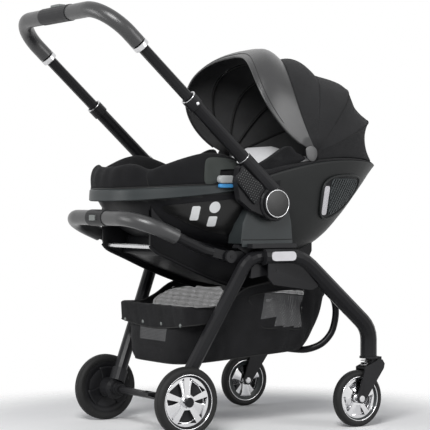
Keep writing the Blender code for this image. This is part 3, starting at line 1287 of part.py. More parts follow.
def canopy_panel(name, body_name, order, mat):
    """One panel between two bows, turned about the pivots, with an eye round the pin at each side."""
    front, rear = CANOPY_FIRST[body_name]
    outer = hood_profile(CANOPY_STEP * order)
    inner = hood_profile(CANOPY_STEP * order + CANOPY_WALL)
    steps = max(3, round((front - rear) / 8.0))
    section = outer + inner[::-1]
    rings = []
    for angle in np.linspace(front, rear, steps + 1):
        a = math.radians(angle)
        below = max(0.0, TAIL_WAIST - a) / (TAIL_WAIST - math.radians(rear))
        flare = 1 + TAIL_FLARE * below
        ring = [(CANOPY_X + r * flare * math.cos(a), y, CANOPY_Z + r * flare * math.sin(a))
                for r, y in section]
        rings.append([hem(*point) for point in ring] if angle < 0 else ring)
    panel = loft(name, rings, mat, body_name)
    edge = CANOPY_HALF_WIDTH - CANOPY_STEP * order
    axis = (CANOPY_X, 0.0, CANOPY_Z)
    for side_name, side in SIDES.items():
        eye = name + "_eye_" + side_name
        join(panel, eye, y_bar(eye, axis, side * (edge - CANOPY_WALL - 0.0006),
                               side * (edge + 0.0004), CANOPY_EYE_RADIUS, 12))
        if body_name == "carrier":
            continue
        bore = name + "_bore_" + side_name
        cut(panel, bore, y_bar(bore, axis, side * (edge - 0.01), side * (edge + 0.01),
                               CANOPY_PIN_RADIUS + SEAT_GAP, 12))
    return panel


def canopy():
    names = ("canopy_band", "canopy_panel_second", "canopy_panel_third", "canopy_panel_fourth",
             "canopy_tail")
    mats = (LEATHER, CANOPY_FABRIC, CANOPY_FABRIC, CANOPY_FABRIC, CANOPY_FABRIC)
    for order, (name, body_name, mat) in enumerate(zip(names, CANOPY_FIRST, mats)):
        panel = canopy_panel(name, body_name, order, mat)
    for side_name, side in SIDES.items():
        join(panel, "canopy_pin_" + side_name,
             y_bar("canopy_pin_" + side_name, (CANOPY_X, 0.0, CANOPY_Z),
                   side * (CANOPY_HALF_WIDTH - CANOPY_STEP * 4 - 0.004),
                   side * (CANOPY_HALF_WIDTH + 0.003), CANOPY_PIN_RADIUS, 12))


def basket_ring(share, inset, lift=0.0, count=20):
    """A ring of the basket: share 0 at the floor and 1 at its sloping top edge."""
    ring = []
    rear = BASKET_REAR_X + 0.022 * (1 - share)
    front = BASKET_FRONT_X - 0.030 * (1 - share)
    half = BASKET_FLOOR_HALF + (BASKET_TOP_HALF - BASKET_FLOOR_HALF) * share - inset
    mid, reach = (rear + front) / 2, (front - rear) / 2 - inset
    for angle in np.linspace(0, math.tau, count, endpoint=False):
        c, s = math.cos(angle), math.sin(angle)
        x = mid + reach * math.copysign(abs(c) ** 0.45, c)
        y = half * math.copysign(abs(s) ** 0.45, s)
        z = BASKET_FLOOR_Z + (float(BASKET_EDGE(x)) - BASKET_FLOOR_Z) * share + lift
        ring.append((x, y, z))
    return ring


BASKET_EDGE = through([0.0, BASKET_REAR_X + 0.02, 0.16, 0.22, 0.34, 0.39, BASKET_FRONT_X],
                      [0.300, 0.303, 0.325, 0.343, 0.346, 0.322, 0.305])


def basket():
    outer = [basket_ring(share, inset) for share, inset in
             ((0.0, 0.020), (0.02, 0.006), (0.12, 0.0), (1.0, 0.0))]
    inner = [basket_ring(share, inset + BASKET_WALL, lift) for share, inset, lift in
             ((1.0, 0.0, 0.0), (0.12, 0.0, 0.001), (0.02, 0.006, 0.0025),
              (0.0, 0.020, BASKET_WALL))]
    tub = loft("basket", outer + inner, BASKET_FABRIC, "front_frame", 60, bowl=True)
    flap_y = BASKET_TOP_HALF - 0.012
    rear = BASKET_REAR_X
    outline = rounded([(rear + 0.002, 0.300), (rear - 0.016, 0.302), (rear - 0.022, 0.290),
                       (rear - 0.009, 0.256), (rear - 0.005, 0.256), (rear - 0.006, 0.290),
                       (rear + 0.002, 0.2915)],
                      [0.0, 0.006, 0.006, 0.001, 0.001, 0.001, 0.0], 3)
    flap = outline_plate("basket_flap", outline, -flap_y, flap_y, None, None, collection=cutters)
    modify(tub, "UNION", as_cutter(flap))

    share = (HOOP_LEG_X - FRONT_KNEE[0]) / (STEM_X - FRONT_KNEE[0])
    leg_z = FRONT_KNEE[1] + (ANKLE_HEIGHT - FRONT_KNEE[1]) * share
    leg_y = ARCH_Y + (FRONT_TRACK / 2 - ARCH_Y) * share
    corners = [(HOOP_LEG_X, leg_y, leg_z), (0.437, 0.205, 0.292), (0.405, 0.156, 0.205),
               (0.362, 0.140, BASKET_FLOOR_Z - HOOP_RADIUS - SEAT_GAP)]
    corners += mirrored(corners[::-1], -1)
    path = bent_path(corners, [0.022, 0.030, 0.012, 0.012, 0.030, 0.022], 2)
    hoop = as_mesh(tube("basket_hoop", path, HOOP_RADIUS, BLACK_TUBE, "front_frame", 2))
    for side_name, side in SIDES.items():
        leg = as_mesh(tube("hoop_cope_" + side_name, front_leg_line(side),
                           FRONT_LEG_RADIUS + SEAT_GAP, None, None, 4, cutters))
        modify(hoop, "DIFFERENCE", as_cutter(leg))


def build():
    wheels()
    chassis()
    curl_gap = min(caster(side_name, side) for side_name, side in SIDES.items())
    print("least gap between spring curls", round(curl_gap * 1000, 2), "mm")
    carrier()
    vent_grilles()
    seat_liner()
    newborn_insert()
    harness()
    belt_guides()
    handle_arm()
    lower_tubes()
    handle_top()
    grab_bar()
    canopy()
    basket()


build()
bpy.context.view_layer.update()
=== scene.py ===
"""Travel system stroller: infant carrier on a folding chassis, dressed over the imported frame."""
import json
import math

import bmesh
import bpy
import numpy as np
from mathutils import Matrix, Vector

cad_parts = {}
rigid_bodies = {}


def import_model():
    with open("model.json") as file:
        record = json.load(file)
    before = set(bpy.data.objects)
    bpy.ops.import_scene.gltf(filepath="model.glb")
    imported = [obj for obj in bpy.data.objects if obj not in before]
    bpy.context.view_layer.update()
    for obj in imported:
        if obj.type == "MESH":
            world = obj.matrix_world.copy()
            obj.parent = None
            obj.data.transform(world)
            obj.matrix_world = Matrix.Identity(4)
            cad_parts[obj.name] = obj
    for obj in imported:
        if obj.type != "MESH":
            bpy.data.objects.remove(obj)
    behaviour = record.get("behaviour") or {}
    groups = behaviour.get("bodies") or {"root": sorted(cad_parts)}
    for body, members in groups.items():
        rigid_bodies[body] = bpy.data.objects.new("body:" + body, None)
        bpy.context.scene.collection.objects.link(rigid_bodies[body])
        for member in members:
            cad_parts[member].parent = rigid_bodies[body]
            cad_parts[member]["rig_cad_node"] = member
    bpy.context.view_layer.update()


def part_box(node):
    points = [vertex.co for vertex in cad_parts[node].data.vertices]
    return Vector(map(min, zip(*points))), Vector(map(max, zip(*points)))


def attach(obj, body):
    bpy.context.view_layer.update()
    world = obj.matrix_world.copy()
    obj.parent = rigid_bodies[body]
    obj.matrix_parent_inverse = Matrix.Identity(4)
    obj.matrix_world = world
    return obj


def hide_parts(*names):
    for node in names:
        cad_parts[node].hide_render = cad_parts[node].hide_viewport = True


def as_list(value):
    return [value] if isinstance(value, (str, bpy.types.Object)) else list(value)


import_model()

SHIFT = 0.2065                  # the drawing's X of the frame's origin
PIVOT = (0.385, 0.690)          # X and Z of the canopy's pivots, on the drawing
HUB = (0.231, 0.564)            # X and Z of the handle's pivots
TUBE_Y = 0.2385                 # half the distance between the handle's tubes
TUBE_RISE = 0.0235              # how far the tubes' axes lie above the hub's
HANDLE_LENGTH = 0.659           # from the hub to the cross bar, along the tubes
BAR_Y = 0.1935                  # half the width of the grab bar
GRIP_RADIUS = 0.0190            # of both leather grips
SKID_Y = 0.120                  # half the distance between the shell's skids
SIDES = {"left": 1, "right": -1}


# ---------------------------------------------------------------- materials

def node(tree, kind, **values):
    """A shader node with its sockets set by name."""
    made = tree.nodes.new(kind)
    for key, value in values.items():
        if key in made.inputs:
            made.inputs[key].default_value = value
        else:
            setattr(made, key, value)
    return made


def finish_of(name, colour, rough, metallic=0.0, vary=0.12, vary_scale=18.0, grain=None,
              grain_scale=900.0, depth=0.00008, coat=0.0, sheen=0.0, wear=0.0, spread=0.06,
              shine=0.30):
    """A surface with its own colour variation, roughness variation, relief and edge wear."""
    mat = bpy.data.materials.new(name)
    mat.use_nodes = True
    mat.diffuse_color = (*colour, 1.0)
    tree = mat.node_tree
    link = tree.links.new
    skin = tree.nodes["Principled BSDF"]
    skin.inputs["Metallic"].default_value = metallic
    skin.inputs["Specular IOR Level"].default_value = shine
    skin.inputs["Coat Weight"].default_value = coat
    skin.inputs["Coat Roughness"].default_value = 0.25
    skin.inputs["Sheen Weight"].default_value = sheen
    skin.inputs["Sheen Roughness"].default_value = 0.45
    place = tree.nodes.new("ShaderNodeTexCoord").outputs["Object"]
    cloud = node(tree, "ShaderNodeTexNoise", Scale=vary_scale, Detail=6.0, Roughness=0.62)
    link(place, cloud.inputs["Vector"])
    ramp = node(tree, "ShaderNodeValToRGB")
    ramp.color_ramp.elements[0].position = 0.30
    ramp.color_ramp.elements[1].position = 0.72
    ramp.color_ramp.elements[0].color = (*[c * (1 - vary) for c in colour], 1)
    ramp.color_ramp.elements[1].color = (*[min(1.0, c * (1 + vary)) for c in colour], 1)
    link(cloud.outputs["Fac"], ramp.inputs["Fac"])
    last = ramp.outputs["Color"]
    if wear:
        shape = node(tree, "ShaderNodeNewGeometry")
        edge = node(tree, "ShaderNodeMapRange")
        edge.inputs["From Min"].default_value = 0.52
        edge.inputs["From Max"].default_value = 0.60
        edge.inputs["To Max"].default_value = wear
        link(shape.outputs["Pointiness"], edge.inputs["Value"])
        mix = node(tree, "ShaderNodeMix", data_type="RGBA")
        mix.inputs["B"].default_value = (*[min(1.0, c * 2.2 + 0.03) for c in colour], 1)
        link(edge.outputs["Result"], mix.inputs["Factor"])
        link(last, mix.inputs["A"])
        last = mix.outputs["Result"]
    link(last, skin.inputs["Base Color"])
    rub = node(tree, "ShaderNodeMapRange")
    rub.inputs["To Min"].default_value = max(0.03, rough - spread)
    rub.inputs["To Max"].default_value = min(1.0, rough + spread)
    smear = node(tree, "ShaderNodeTexNoise", Scale=vary_scale * 3.1, Detail=4.0)
    link(place, smear.inputs["Vector"])
    link(smear.outputs["Fac"], rub.inputs["Value"])
    link(rub.outputs["Result"], skin.inputs["Roughness"])
    relief = node(tree, "ShaderNodeBump", Distance=depth, Strength=0.9)
    if grain == "weave":
        waves = []
        for direction in ("X", "Y", "Z"):
            wave = node(tree, "ShaderNodeTexWave", bands_direction=direction, Scale=grain_scale,
                        Distortion=0.8, Detail=1.0)
            link(place, wave.inputs["Vector"])
            waves.append(wave.outputs["Fac"])
        over = node(tree, "ShaderNodeMath", operation="MAXIMUM")
        link(waves[0], over.inputs[0])
        link(waves[1], over.inputs[1])
        both = node(tree, "ShaderNodeMath", operation="MULTIPLY")
        link(over.outputs[0], both.inputs[0])
        link(waves[2], both.inputs[1])
        link(both.outputs[0], relief.inputs["Height"])
    elif grain == "hide":
        cell = node(tree, "ShaderNodeTexVoronoi", Scale=grain_scale)
        link(place, cell.inputs["Vector"])
        link(cell.outputs["Distance"], relief.inputs["Height"])
    elif grain == "brushed":
        stretch = node(tree, "ShaderNodeMapping")
        stretch.inputs["Scale"].default_value = (1.0, 1.0, 0.04)
        link(place, stretch.inputs["Vector"])
        line = node(tree, "ShaderNodeTexNoise", Scale=grain_scale, Detail=3.0)
        link(stretch.outputs["Vector"], line.inputs["Vector"])
        link(line.outputs["Fac"], relief.inputs["Height"])
    elif grain == "prism":
        cell = node(tree, "ShaderNodeTexVoronoi", Scale=grain_scale, distance="MANHATTAN")
        cell.inputs["Randomness"].default_value = 0.0
        link(place, cell.inputs["Vector"])
        link(cell.outputs["Distance"], relief.inputs["Height"])
    else:
        fine = node(tree, "ShaderNodeTexNoise", Scale=grain_scale, Detail=5.0)
        link(place, fine.inputs["Vector"])
        link(fine.outputs["Fac"], relief.inputs["Height"])
    link(relief.outputs["Normal"], skin.inputs["Normal"])
    return mat


def mix_to(end, tree, factor, first, second):
    """Mixes two shaders by a factor on their way to the output."""
    mix = tree.nodes.new("ShaderNodeMixShader")
    for source, socket in zip((factor, first.outputs[0], second.outputs[0]), mix.inputs):
        tree.links.new(source, socket)
    tree.links.new(mix.outputs[0], tree.nodes[end].inputs["Surface"])


def netting(name, colour, across, scale, hole):
    """Net: threads that run across and up, with see-through holes between them."""
    mat = finish_of(name, colour, 0.8, grain="weave", grain_scale=scale, depth=0.0002, shine=0.1)
    tree = mat.node_tree
    link = tree.links.new
    place = tree.nodes.new("ShaderNodeTexCoord").outputs["Object"]
    rows = []
    for direction in (across, "Z"):
        wave = node(tree, "ShaderNodeTexWave", bands_direction=direction, Scale=scale)
        link(place, wave.inputs["Vector"])
        rows.append(wave.outputs["Fac"])
    least = node(tree, "ShaderNodeMath", operation="MINIMUM")
    link(rows[0], least.inputs[0])
    link(rows[1], least.inputs[1])
    open_part = node(tree, "ShaderNodeMath", operation="GREATER_THAN")
    open_part.inputs[1].default_value = hole
    link(least.outputs[0], open_part.inputs[0])
    mix_to("Material Output", tree, open_part.outputs[0], tree.nodes["Principled BSDF"],
           tree.nodes.new("ShaderNodeBsdfTransparent"))
    return mat


TUBE = finish_of("tube_paint", (0.006, 0.006, 0.007), 0.32, shine=0.15, wear=0.25,
                 grain_scale=600, depth=0.00003)
PLASTIC = finish_of("black_moulding", (0.007, 0.007, 0.008), 0.42, shine=0.15, wear=0.30, grain_scale=1500,
                    depth=0.00005)
SHELL = finish_of("shell_moulding", (0.012, 0.013, 0.013), 0.44, shine=0.2, wear=0.20, grain_scale=1700,
                  depth=0.00006)
# black of the underside mouldings; the vent's bed uses the same black as painted shade of its recess
UNDERSIDE_AND_SHADE = finish_of("underside_moulding_and_painted_shade", (0.005, 0.005, 0.006), 0.42, shine=0.15, wear=0.20, grain_scale=1500,
                  depth=0.00005)
CASING = finish_of("casing_moulding", (0.017, 0.021, 0.022), 0.42, wear=0.25, grain_scale=1600,
                   depth=0.00005)
GREY = finish_of("grey_moulding", (0.13, 0.14, 0.135), 0.5, wear=0.2, grain_scale=1500)
RUBBER = finish_of("tyre_rubber_skin", (0.008, 0.008, 0.008), 0.66, vary=0.3, grain_scale=1100,
                   depth=0.0001)
HOOK = finish_of("pale_moulding", (0.36, 0.37, 0.37), 0.5, vary=0.05, grain_scale=1400)
# grey of the vent's ribs, partly their moulding and partly painted highlight along them
HATCH_GREY_AND_HIGHLIGHT = finish_of("hatch_grey_and_painted_highlight", (0.070, 0.078, 0.080), 0.5, vary=0.1, grain_scale=1400)
CHROME = finish_of("chrome_plate", (0.72, 0.72, 0.73), 0.10, 1.0, vary=0.04, grain_scale=500,
                   depth=0.00001, spread=0.04)
STEEL = finish_of("brushed_metal", (0.62, 0.62, 0.63), 0.26, 1.0, vary=0.06, grain="brushed",
                  grain_scale=900, depth=0.00002)
REFLECT = finish_of("reflector_lens", (0.62, 0.61, 0.63), 0.25, vary=0.05, grain="prism",
                    grain_scale=420, depth=0.0003, coat=0.5)
LEATHER = finish_of("grip_leather", (0.026, 0.026, 0.027), 0.33, vary=0.18, grain="hide",
                    grain_scale=1300, depth=0.00010, coat=0.10, shine=0.6)
CLOTH = finish_of("seat_cloth", (0.011, 0.011, 0.012), 0.88, vary=0.22, grain="weave",
                  grain_scale=520, depth=0.0003, sheen=0.06, shine=0.1)
PAD_CLOTH = finish_of("pad_cloth", (0.055, 0.061, 0.057), 0.85, vary=0.12, grain="weave",
                      grain_scale=520, depth=0.0003, sheen=0.06, shine=0.1)
PALE_PAD = finish_of("pale_pad_cloth", (0.34, 0.34, 0.345), 0.8, vary=0.08, grain="weave",
                     grain_scale=620, depth=0.0002)
HOOD = finish_of("hood_cloth", (0.026, 0.026, 0.027), 0.80, vary=0.14, grain="weave",
                 grain_scale=560, depth=0.00025, sheen=0.08, shine=0.1)
LINING = finish_of("hood_lining", (0.055, 0.055, 0.056), 0.85, vary=0.14, grain="weave",
                   grain_scale=560, depth=0.0002, sheen=0.06, shine=0.1)
INSERT = finish_of("insert_cloth", (0.62, 0.62, 0.63), 0.88, vary=0.05, grain="hide",
                   grain_scale=160, depth=0.0007, sheen=0.1, shine=0.1)
BASKET = finish_of("basket_cloth", (0.012, 0.012, 0.013), 0.80, vary=0.25, grain="weave",
                   grain_scale=480, depth=0.0003, sheen=0.05, shine=0.1)
NET = netting("basket_net_side", (0.110, 0.110, 0.112), "X", 90.0, 0.38)
REAR_NET = netting("basket_net_rear", (0.110, 0.110, 0.112), "Y", 90.0, 0.38)
THREAD = finish_of("dark_thread", (0.008, 0.008, 0.008), 0.7, grain="weave", grain_scale=900)
BLUE = finish_of("blue_moulding", (0.055, 0.26, 0.55), 0.45, vary=0.08, grain_scale=1200)
YELLOW = finish_of("yellow_tag_cloth", (0.62, 0.42, 0.05), 0.8, vary=0.08, grain="weave",
                   grain_scale=600)
LABEL = finish_of("label_film", (0.70, 0.71, 0.71), 0.38, vary=0.04, grain_scale=400,
                  depth=0.00002)
GLOSS = finish_of("gloss_panel", (0.004, 0.004, 0.004), 0.30, vary=0.1, grain_scale=300,
                  depth=0.00001, coat=0.10)

PAINT = {"black_tube": TUBE, "black_plastic": PLASTIC, "shell_plastic": SHELL,
         "casing_plastic": CASING, "grey_plastic": GREY, "tyre_rubber": RUBBER, "chrome": CHROME,
         "steel": STEEL, "reflector": REFLECT, "leather_grip": LEATHER, "seat_fabric": CLOTH,
         "canopy_fabric": HOOD, "insert_fabric": INSERT, "basket_fabric": BASKET}


# ---------------------------------------------------------------- building

def full_turn(count):
    """Angles of a full turn, without the last one that repeats the first."""
    return np.linspace(0, math.tau, count, endpoint=False)


def node_box(name):
    """The corners of a CAD node in the world, and its middle on the drawing."""
    low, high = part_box(name)
    x, y, z = ((low[k] + high[k]) / 2 for k in range(3))
    return low, high, (x + SHIFT, y, z)


def face_out(mesh):
    """Turns an open shell's faces away from its own middle."""
    work = bmesh.new()
    work.from_mesh(mesh)
    if any(edge.is_boundary for edge in work.edges):
        middle = sum((vert.co for vert in work.verts), Vector()) / len(work.verts)
        lean = sum(face.normal.dot(face.calc_center_median() - middle) * face.calc_area()
                   for face in work.faces)
        if lean < 0:
            bmesh.ops.reverse_faces(work, faces=work.faces)
            work.to_mesh(mesh)
    work.free()


def put(name, mesh, body, mats, smooth=40.0):
    """Adds a mesh drawn in the drawing's coordinates, shaded, with its body and finish."""
    mesh.transform(Matrix.Translation((-SHIFT, 0, 0)))
    obj = bpy.data.objects.new(name, mesh)
    bpy.context.scene.collection.objects.link(obj)
    for mat in mats if isinstance(mats, (list, tuple)) else [mats]:
        mesh.materials.append(mat)
    bpy.ops.object.select_all(action="DESELECT")
    obj.select_set(True)
    bpy.context.view_layer.objects.active = obj
    bpy.ops.object.mode_set(mode="EDIT")
    bpy.ops.mesh.select_all(action="SELECT")
    bpy.ops.mesh.remove_doubles(threshold=1e-6)
    bpy.ops.mesh.normals_make_consistent(inside=False)
    bpy.ops.object.mode_set(mode="OBJECT")
    face_out(mesh)
    bpy.ops.object.shade_smooth_by_angle(angle=math.radians(smooth))
    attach(obj, body)
    return obj


def apply(obj, kind, **values):
    """Adds a modifier and applies it at once."""
    bpy.ops.object.select_all(action="DESELECT")
    obj.select_set(True)
    bpy.context.view_layer.objects.active = obj
    made = obj.modifiers.new("step", kind)
    for key, value in values.items():
        setattr(made, key, value)
    bpy.ops.object.modifier_apply(modifier=made.name)
    return obj


def net(rows, loop=False, ends=False, choose=None):
    """A mesh over rows of points. A closed row loops; ends closes the first and last row."""
    rows = [[tuple(map(float, p)) for p in row] for row in rows]
    wide = len(rows[0])
    points = [p for row in rows for p in row]
    faces, kinds = [], []
    for i in range(len(rows) - 1):
        for j in range(wide if loop else wide - 1):
            k = (j + 1) % wide
            faces.append((i * wide + j, i * wide + k, (i + 1) * wide + k, (i + 1) * wide + j))
            kinds.append(choose(i, j) if choose else 0)
    if ends:
        for i in (0, len(rows) - 1):
            ring = rows[i]
            middle = tuple(sum(p[a] for p in ring) / wide for a in range(3))
            points.append(middle)
            for j in range(wide if loop else wide - 1):
                k = (j + 1) % wide
                faces.append((i * wide + j, i * wide + k, len(points) - 1))
                kinds.append(choose(min(i, len(rows) - 2), j) if choose else 0)
    mesh = bpy.data.meshes.new("net")
    mesh.from_pydata(points, [], faces)
    for face, kind in zip(mesh.polygons, kinds):
        face.material_index = kind
    mesh.update()
    return mesh


def sweep(points, radius, steps=14, closed=False, flat=1.0, up=None):
    """A round or flattened bar along a line of points."""
    line = [Vector(p) for p in points]
    count = len(line)
    rows = []
    normal = None
    for i, p in enumerate(line):
        before = line[i - 1] if closed or i else line[0]
        after = line[(i + 1) % count] if closed or i < count - 1 else line[-1]
        along = (after - before).normalized()
        if up is not None:
            normal = (Vector(up) - along * along.dot(Vector(up))).normalized()
        elif normal is None:
            seed = Vector((0, 0, 1)) if abs(along.z) < 0.9 else Vector((1, 0, 0))
            normal = (seed - along * along.dot(seed)).normalized()
        else:
            normal = (normal - along * along.dot(normal)).normalized()
        side = along.cross(normal)
        r = radius(i / max(1, count - 1)) if callable(radius) else radius
        rows.append([p + (normal * math.cos(a) * flat + side * math.sin(a)) * r
                     for a in full_turn(steps)])
    if closed:
        rows.append(rows[0])
        return net(rows, loop=True)
    return net(rows, loop=True, ends=True)


def bent(corners, cut, steps=16):
    """Straight runs joined by round bends that start a given way before each corner."""
    out = [corners[0]]
    for before, corner, after in zip(corners, corners[1:], corners[2:]):
        one, two = (before - corner).normalized(), (after - corner).normalized()
        half = one.angle(two) / 2
        middle = corner + (one + two).normalized() * (cut / math.cos(half))
        start, stop = corner + one * cut - middle, corner + two * cut - middle
        swing = start.angle(stop)
        for t in np.linspace(0, 1, steps):
            out.append(middle + (start * math.sin((1 - t) * swing) + stop * math.sin(t * swing))
                       / math.sin(swing))
    out.append(corners[-1])
    return out


def merged(meshes):
    """One mesh from several."""
    whole = bmesh.new()
    for mesh in meshes:
        whole.from_mesh(mesh)
    out = bpy.data.meshes.new("merged")
    whole.to_mesh(out)
    whole.free()
    return out


def lathe(profile, centre, axis, steps=64):
    """A body of revolution. The profile is (radius, distance along the axis)."""
    axis = Vector(axis).normalized()
    seed = Vector((0, 0, 1)) if abs(axis.z) < 0.9 else Vector((1, 0, 0))
    one = (seed - axis * axis.dot(seed)).normalized()
    two = axis.cross(one)
    rows = []
    for r, t in profile:
        rows.append([Vector(centre) + axis * t + (one * math.cos(a) + two * math.sin(a)) * r
                     for a in full_turn(steps)])
    return net(rows, loop=True, ends=profile[0] != profile[-1])


def ring_section(radius, at, thick, count=11, tall=None):
    """The round section of a ring, as a profile for lathe."""
    return [(radius + thick * math.cos(a), at + (tall or thick) * math.sin(a))
            for a in np.linspace(0, math.tau, count)]


def band_section(inner, outer, half):
    """The square section of a band, as a profile for lathe."""
    return [(inner, -half), (outer, -half), (outer, half), (inner, half), (inner, -half)]


def smooth_line(corners, count=40, closed=False):
    """A smooth line through corners, by Catmull and Rom."""
    pts = [np.array(c, float) for c in corners]
    n = len(pts)
    out = []
    spans = n if closed else n - 1
    for i in range(spans):
        if closed:
            a, b, c, d = (pts[(i + k) % n] for k in (-1, 0, 1, 2))
        else:
            a, b, c, d = pts[max(i - 1, 0)], pts[i], pts[i + 1], pts[min(i + 2, n - 1)]
        steps = max(2, count // spans)
        for t in np.linspace(0, 1, steps, endpoint=False):
            out.append(0.5 * (2 * b + (c - a) * t + (2 * a - 5 * b + 4 * c - d) * t ** 2
                              + (3 * b - a - 3 * c + d) * t ** 3))
    if not closed:
        out.append(pts[-1])
    return out


def curve(points, values):
    """A smooth function through the given values."""
    points, values = np.array(points, float), np.array(values, float)
    slopes = np.gradient(values, points)

    def read(x):
        x = float(np.clip(x, points[0], points[-1]))
        i = int(np.clip(np.searchsorted(points, x) - 1, 0, len(points) - 2))
        w = points[i + 1] - points[i]
        t = (x - points[i]) / w
        return float((2 * t ** 3 - 3 * t ** 2 + 1) * values[i] + (t ** 3 - 2 * t ** 2 + t) * w * slopes[i]
                     + (3 * t ** 2 - 2 * t ** 3) * values[i + 1] + (t ** 3 - t ** 2) * w * slopes[i + 1])
    return read


def sheet_of(obj, width, length, held, rests_on):
    """Takes a cloth with the flat size it was cut to, how it is held and what it rests on, and only turns the
    last into a list.
    """
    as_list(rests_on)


def inside(x, z, shape):
    """Whether a point lies inside a closed outline."""
    hit = False
    for (xa, za), (xb, zb) in zip(shape, shape[1:] + shape[:1]):
        if (za > z) != (zb > z) and x < (xb - xa) * (z - za) / (zb - za) + xa:
            hit = not hit
    return hit


def layered(outline, middle, layers, place):
    """A closed piece of layers of one outline, each with its share of the size and its offset."""
    cx, cz = middle
    return net([[place(cx + (x - cx) * share, cz + (z - cz) * share, out) for x, z in outline]
                for share, out in layers], loop=True, ends=True)


def middle_of(outline):
    return tuple(sum(p[k] for p in outline) / len(outline) for k in (0, 1))


# ---------------------------------------------------------------- the CAD's own pieces

for obj in list(bpy.data.objects):
    if obj.type != "MESH" or "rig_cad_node" not in obj:
        continue
    for entry in obj.material_slots:
        base = entry.material.name.split(".")[0] if entry.material else ""
        entry.material = PAINT.get(base, PLASTIC)


# ---------------------------------------------------------------- the carrier's shell

FOOT, HEAD, MIDDLE, HALF, POWER = 0.372, 0.425, 0.250, 0.212, 2.5
RIM = curve([-0.122, 0.0, 0.10, 0.20, 0.30, 0.40, 0.50, 0.60, 0.675],
            [0.600, 0.607, 0.612, 0.625, 0.650, 0.668, 0.674, 0.670, 0.660])
KEEL = curve([-0.122, -0.100, -0.075, -0.030, 0.05, 0.15, 0.25, 0.33, 0.40, 0.46, 0.52, 0.58,
              0.63, 0.675],
             [0.588, 0.560, 0.530, 0.497, 0.470, 0.450, 0.436, 0.430, 0.440, 0.468, 0.515,
              0.567, 0.612, 0.650])
DEPTHS = [0.00, 0.13, 0.37, 0.64, 0.87, 0.975, 1.00]
INSETS = [0.000, 0.003, 0.012, 0.028, 0.056, 0.092, 0.134]
inset_at, depth_at = curve(range(7), INSETS), curve(range(7), DEPTHS)
DENSE = np.linspace(0, 6, 241)
DENSE_DEPTH = [depth_at(s) for s in DENSE]
DENSE_INSET = [inset_at(s) for s in DENSE]


def plan(angle, inset):
    """A point of the rim's outline in plan."""
    c, s = math.cos(angle), math.sin(angle)
    swell = (abs(c) ** POWER + abs(s) ** POWER) ** (-1 / POWER)
    return (MIDDLE + ((HEAD if c > 0 else FOOT) - inset) * c * swell, (HALF - inset) * s * swell)


def shell_row(station, angles, inward=0.0, deep=1.0, lift=0.0):
    """A row round the bowl, from station 0 at the rim to 6 at the keel."""
    depth = depth_at(station) * deep
    row = []
    for a in angles:
        x, y = plan(a, inset_at(station) + inward)
        row.append((x, y, RIM(x) * (1 - depth) + KEEL(x) * depth + lift))
    return row


def shell_y(x, z, out=0.0):
    """Half width of the shell's outer surface at a point of its side."""
    depth = min(0.97, max(0.0, (RIM(x) - z) / (RIM(x) - KEEL(x))))
    inset = float(np.interp(depth, DENSE_DEPTH, DENSE_INSET)) - out
    reach = (HEAD if x > MIDDLE else FOOT) - inset
    return (HALF - inset) * max(0.0, 1 - (abs(x - MIDDLE) / reach) ** POWER) ** (1 / POWER)


ROUND = full_turn(120)
stations = np.linspace(0, 6, 31)
rows = [shell_row(s, ROUND) for s in stations]
LIP_LINE = curve([-0.122, 0.0, 0.117, 0.200, 0.260], [0.570, 0.580, 0.593, 0.606, 0.622])


def part_of_shell(i, j):
    x, _, z = rows[i][j]
    return 1 if x < 0.262 and z < LIP_LINE(x) else 0


body = put("shell_body", net(rows, loop=True, choose=part_of_shell), "carrier", [SHELL, UNDERSIDE_AND_SHADE])
floor_x = sum(p[0] for p in rows[-1]) / len(ROUND)
floor_rows = [rows[-1]]
for t in (0.35, 0.7, 0.97):
    inner = [(p[0] * (1 - t) + floor_x * t, p[1] * (1 - t)) for p in rows[-1]]
    floor_rows.append([(x, y, KEEL(x)) for x, y in inner])
put("shell_floor", net(floor_rows, loop=True, ends=True), "carrier", UNDERSIDE_AND_SHADE)
apply(body, "SOLIDIFY", thickness=0.004, offset=-1)
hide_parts("seat_shell")

# the grey lip round the foot end, standing proud of the black underside
near = math.pi - math.radians(84)
lip_angles = np.linspace(near, math.tau - near, 90)
section = [(0.003, 1.0), (-0.0022, 0.85), (-0.0030, 0.45), (-0.0034, 0.04), (-0.0010, -0.03),
           (0.006, 0.0), (0.008, 0.5)]
lip_rows = []
for a in lip_angles:
    row = []
    for inset, share in section:
        x, y = plan(a, inset)
        top, low = RIM(x) + 0.0004, LIP_LINE(x)
        row.append((x, y, low + (top - low) * share))
    lip_rows.append(row)
put("shell_lip", net(lip_rows, loop=True, ends=True), "carrier", CASING)


def shell_under(x, y):
    """Height of the shell's underside over a point of the floor plan."""
    low, high = KEEL(x), RIM(x)
    for _ in range(30):
        middle = (low + high) / 2
        if shell_y(x, middle) < abs(y):
            low = middle
        else:
            high = middle
    return low


SKID = [(-0.050, 0.522), (-0.052, 0.490), (-0.051, 0.461), (-0.035, 0.447), (0.010, 0.427),
        (0.080, 0.396), (0.160, 0.366), (0.225, 0.347), (0.290, 0.341), (0.350, 0.355),
        (0.400, 0.395), (0.428, 0.440)]
BELOW = curve(*zip(*SKID[3:11]))


def skid(side):
    """A curved skid under the shell, with a rounded edge all along its lower side."""
    edge = smooth_line([(x, 0, z) for x, z in SKID], 66)
    rows = []
    for x, _, z in edge:
        top = shell_under(x, SKID_Y) + 0.006
        row = []
        for dy, share in ((-0.004, 1.0), (-0.004, 0.04), (-0.0026, 0.01), (0.0, 0.0),
                          (0.0026, 0.01), (0.004, 0.04), (0.004, 1.0)):
            row.append((x, side * SKID_Y + dy, z + (max(top, z + 0.004) - z) * share))
        rows.append(row)
    return net(rows, loop=True, ends=True)


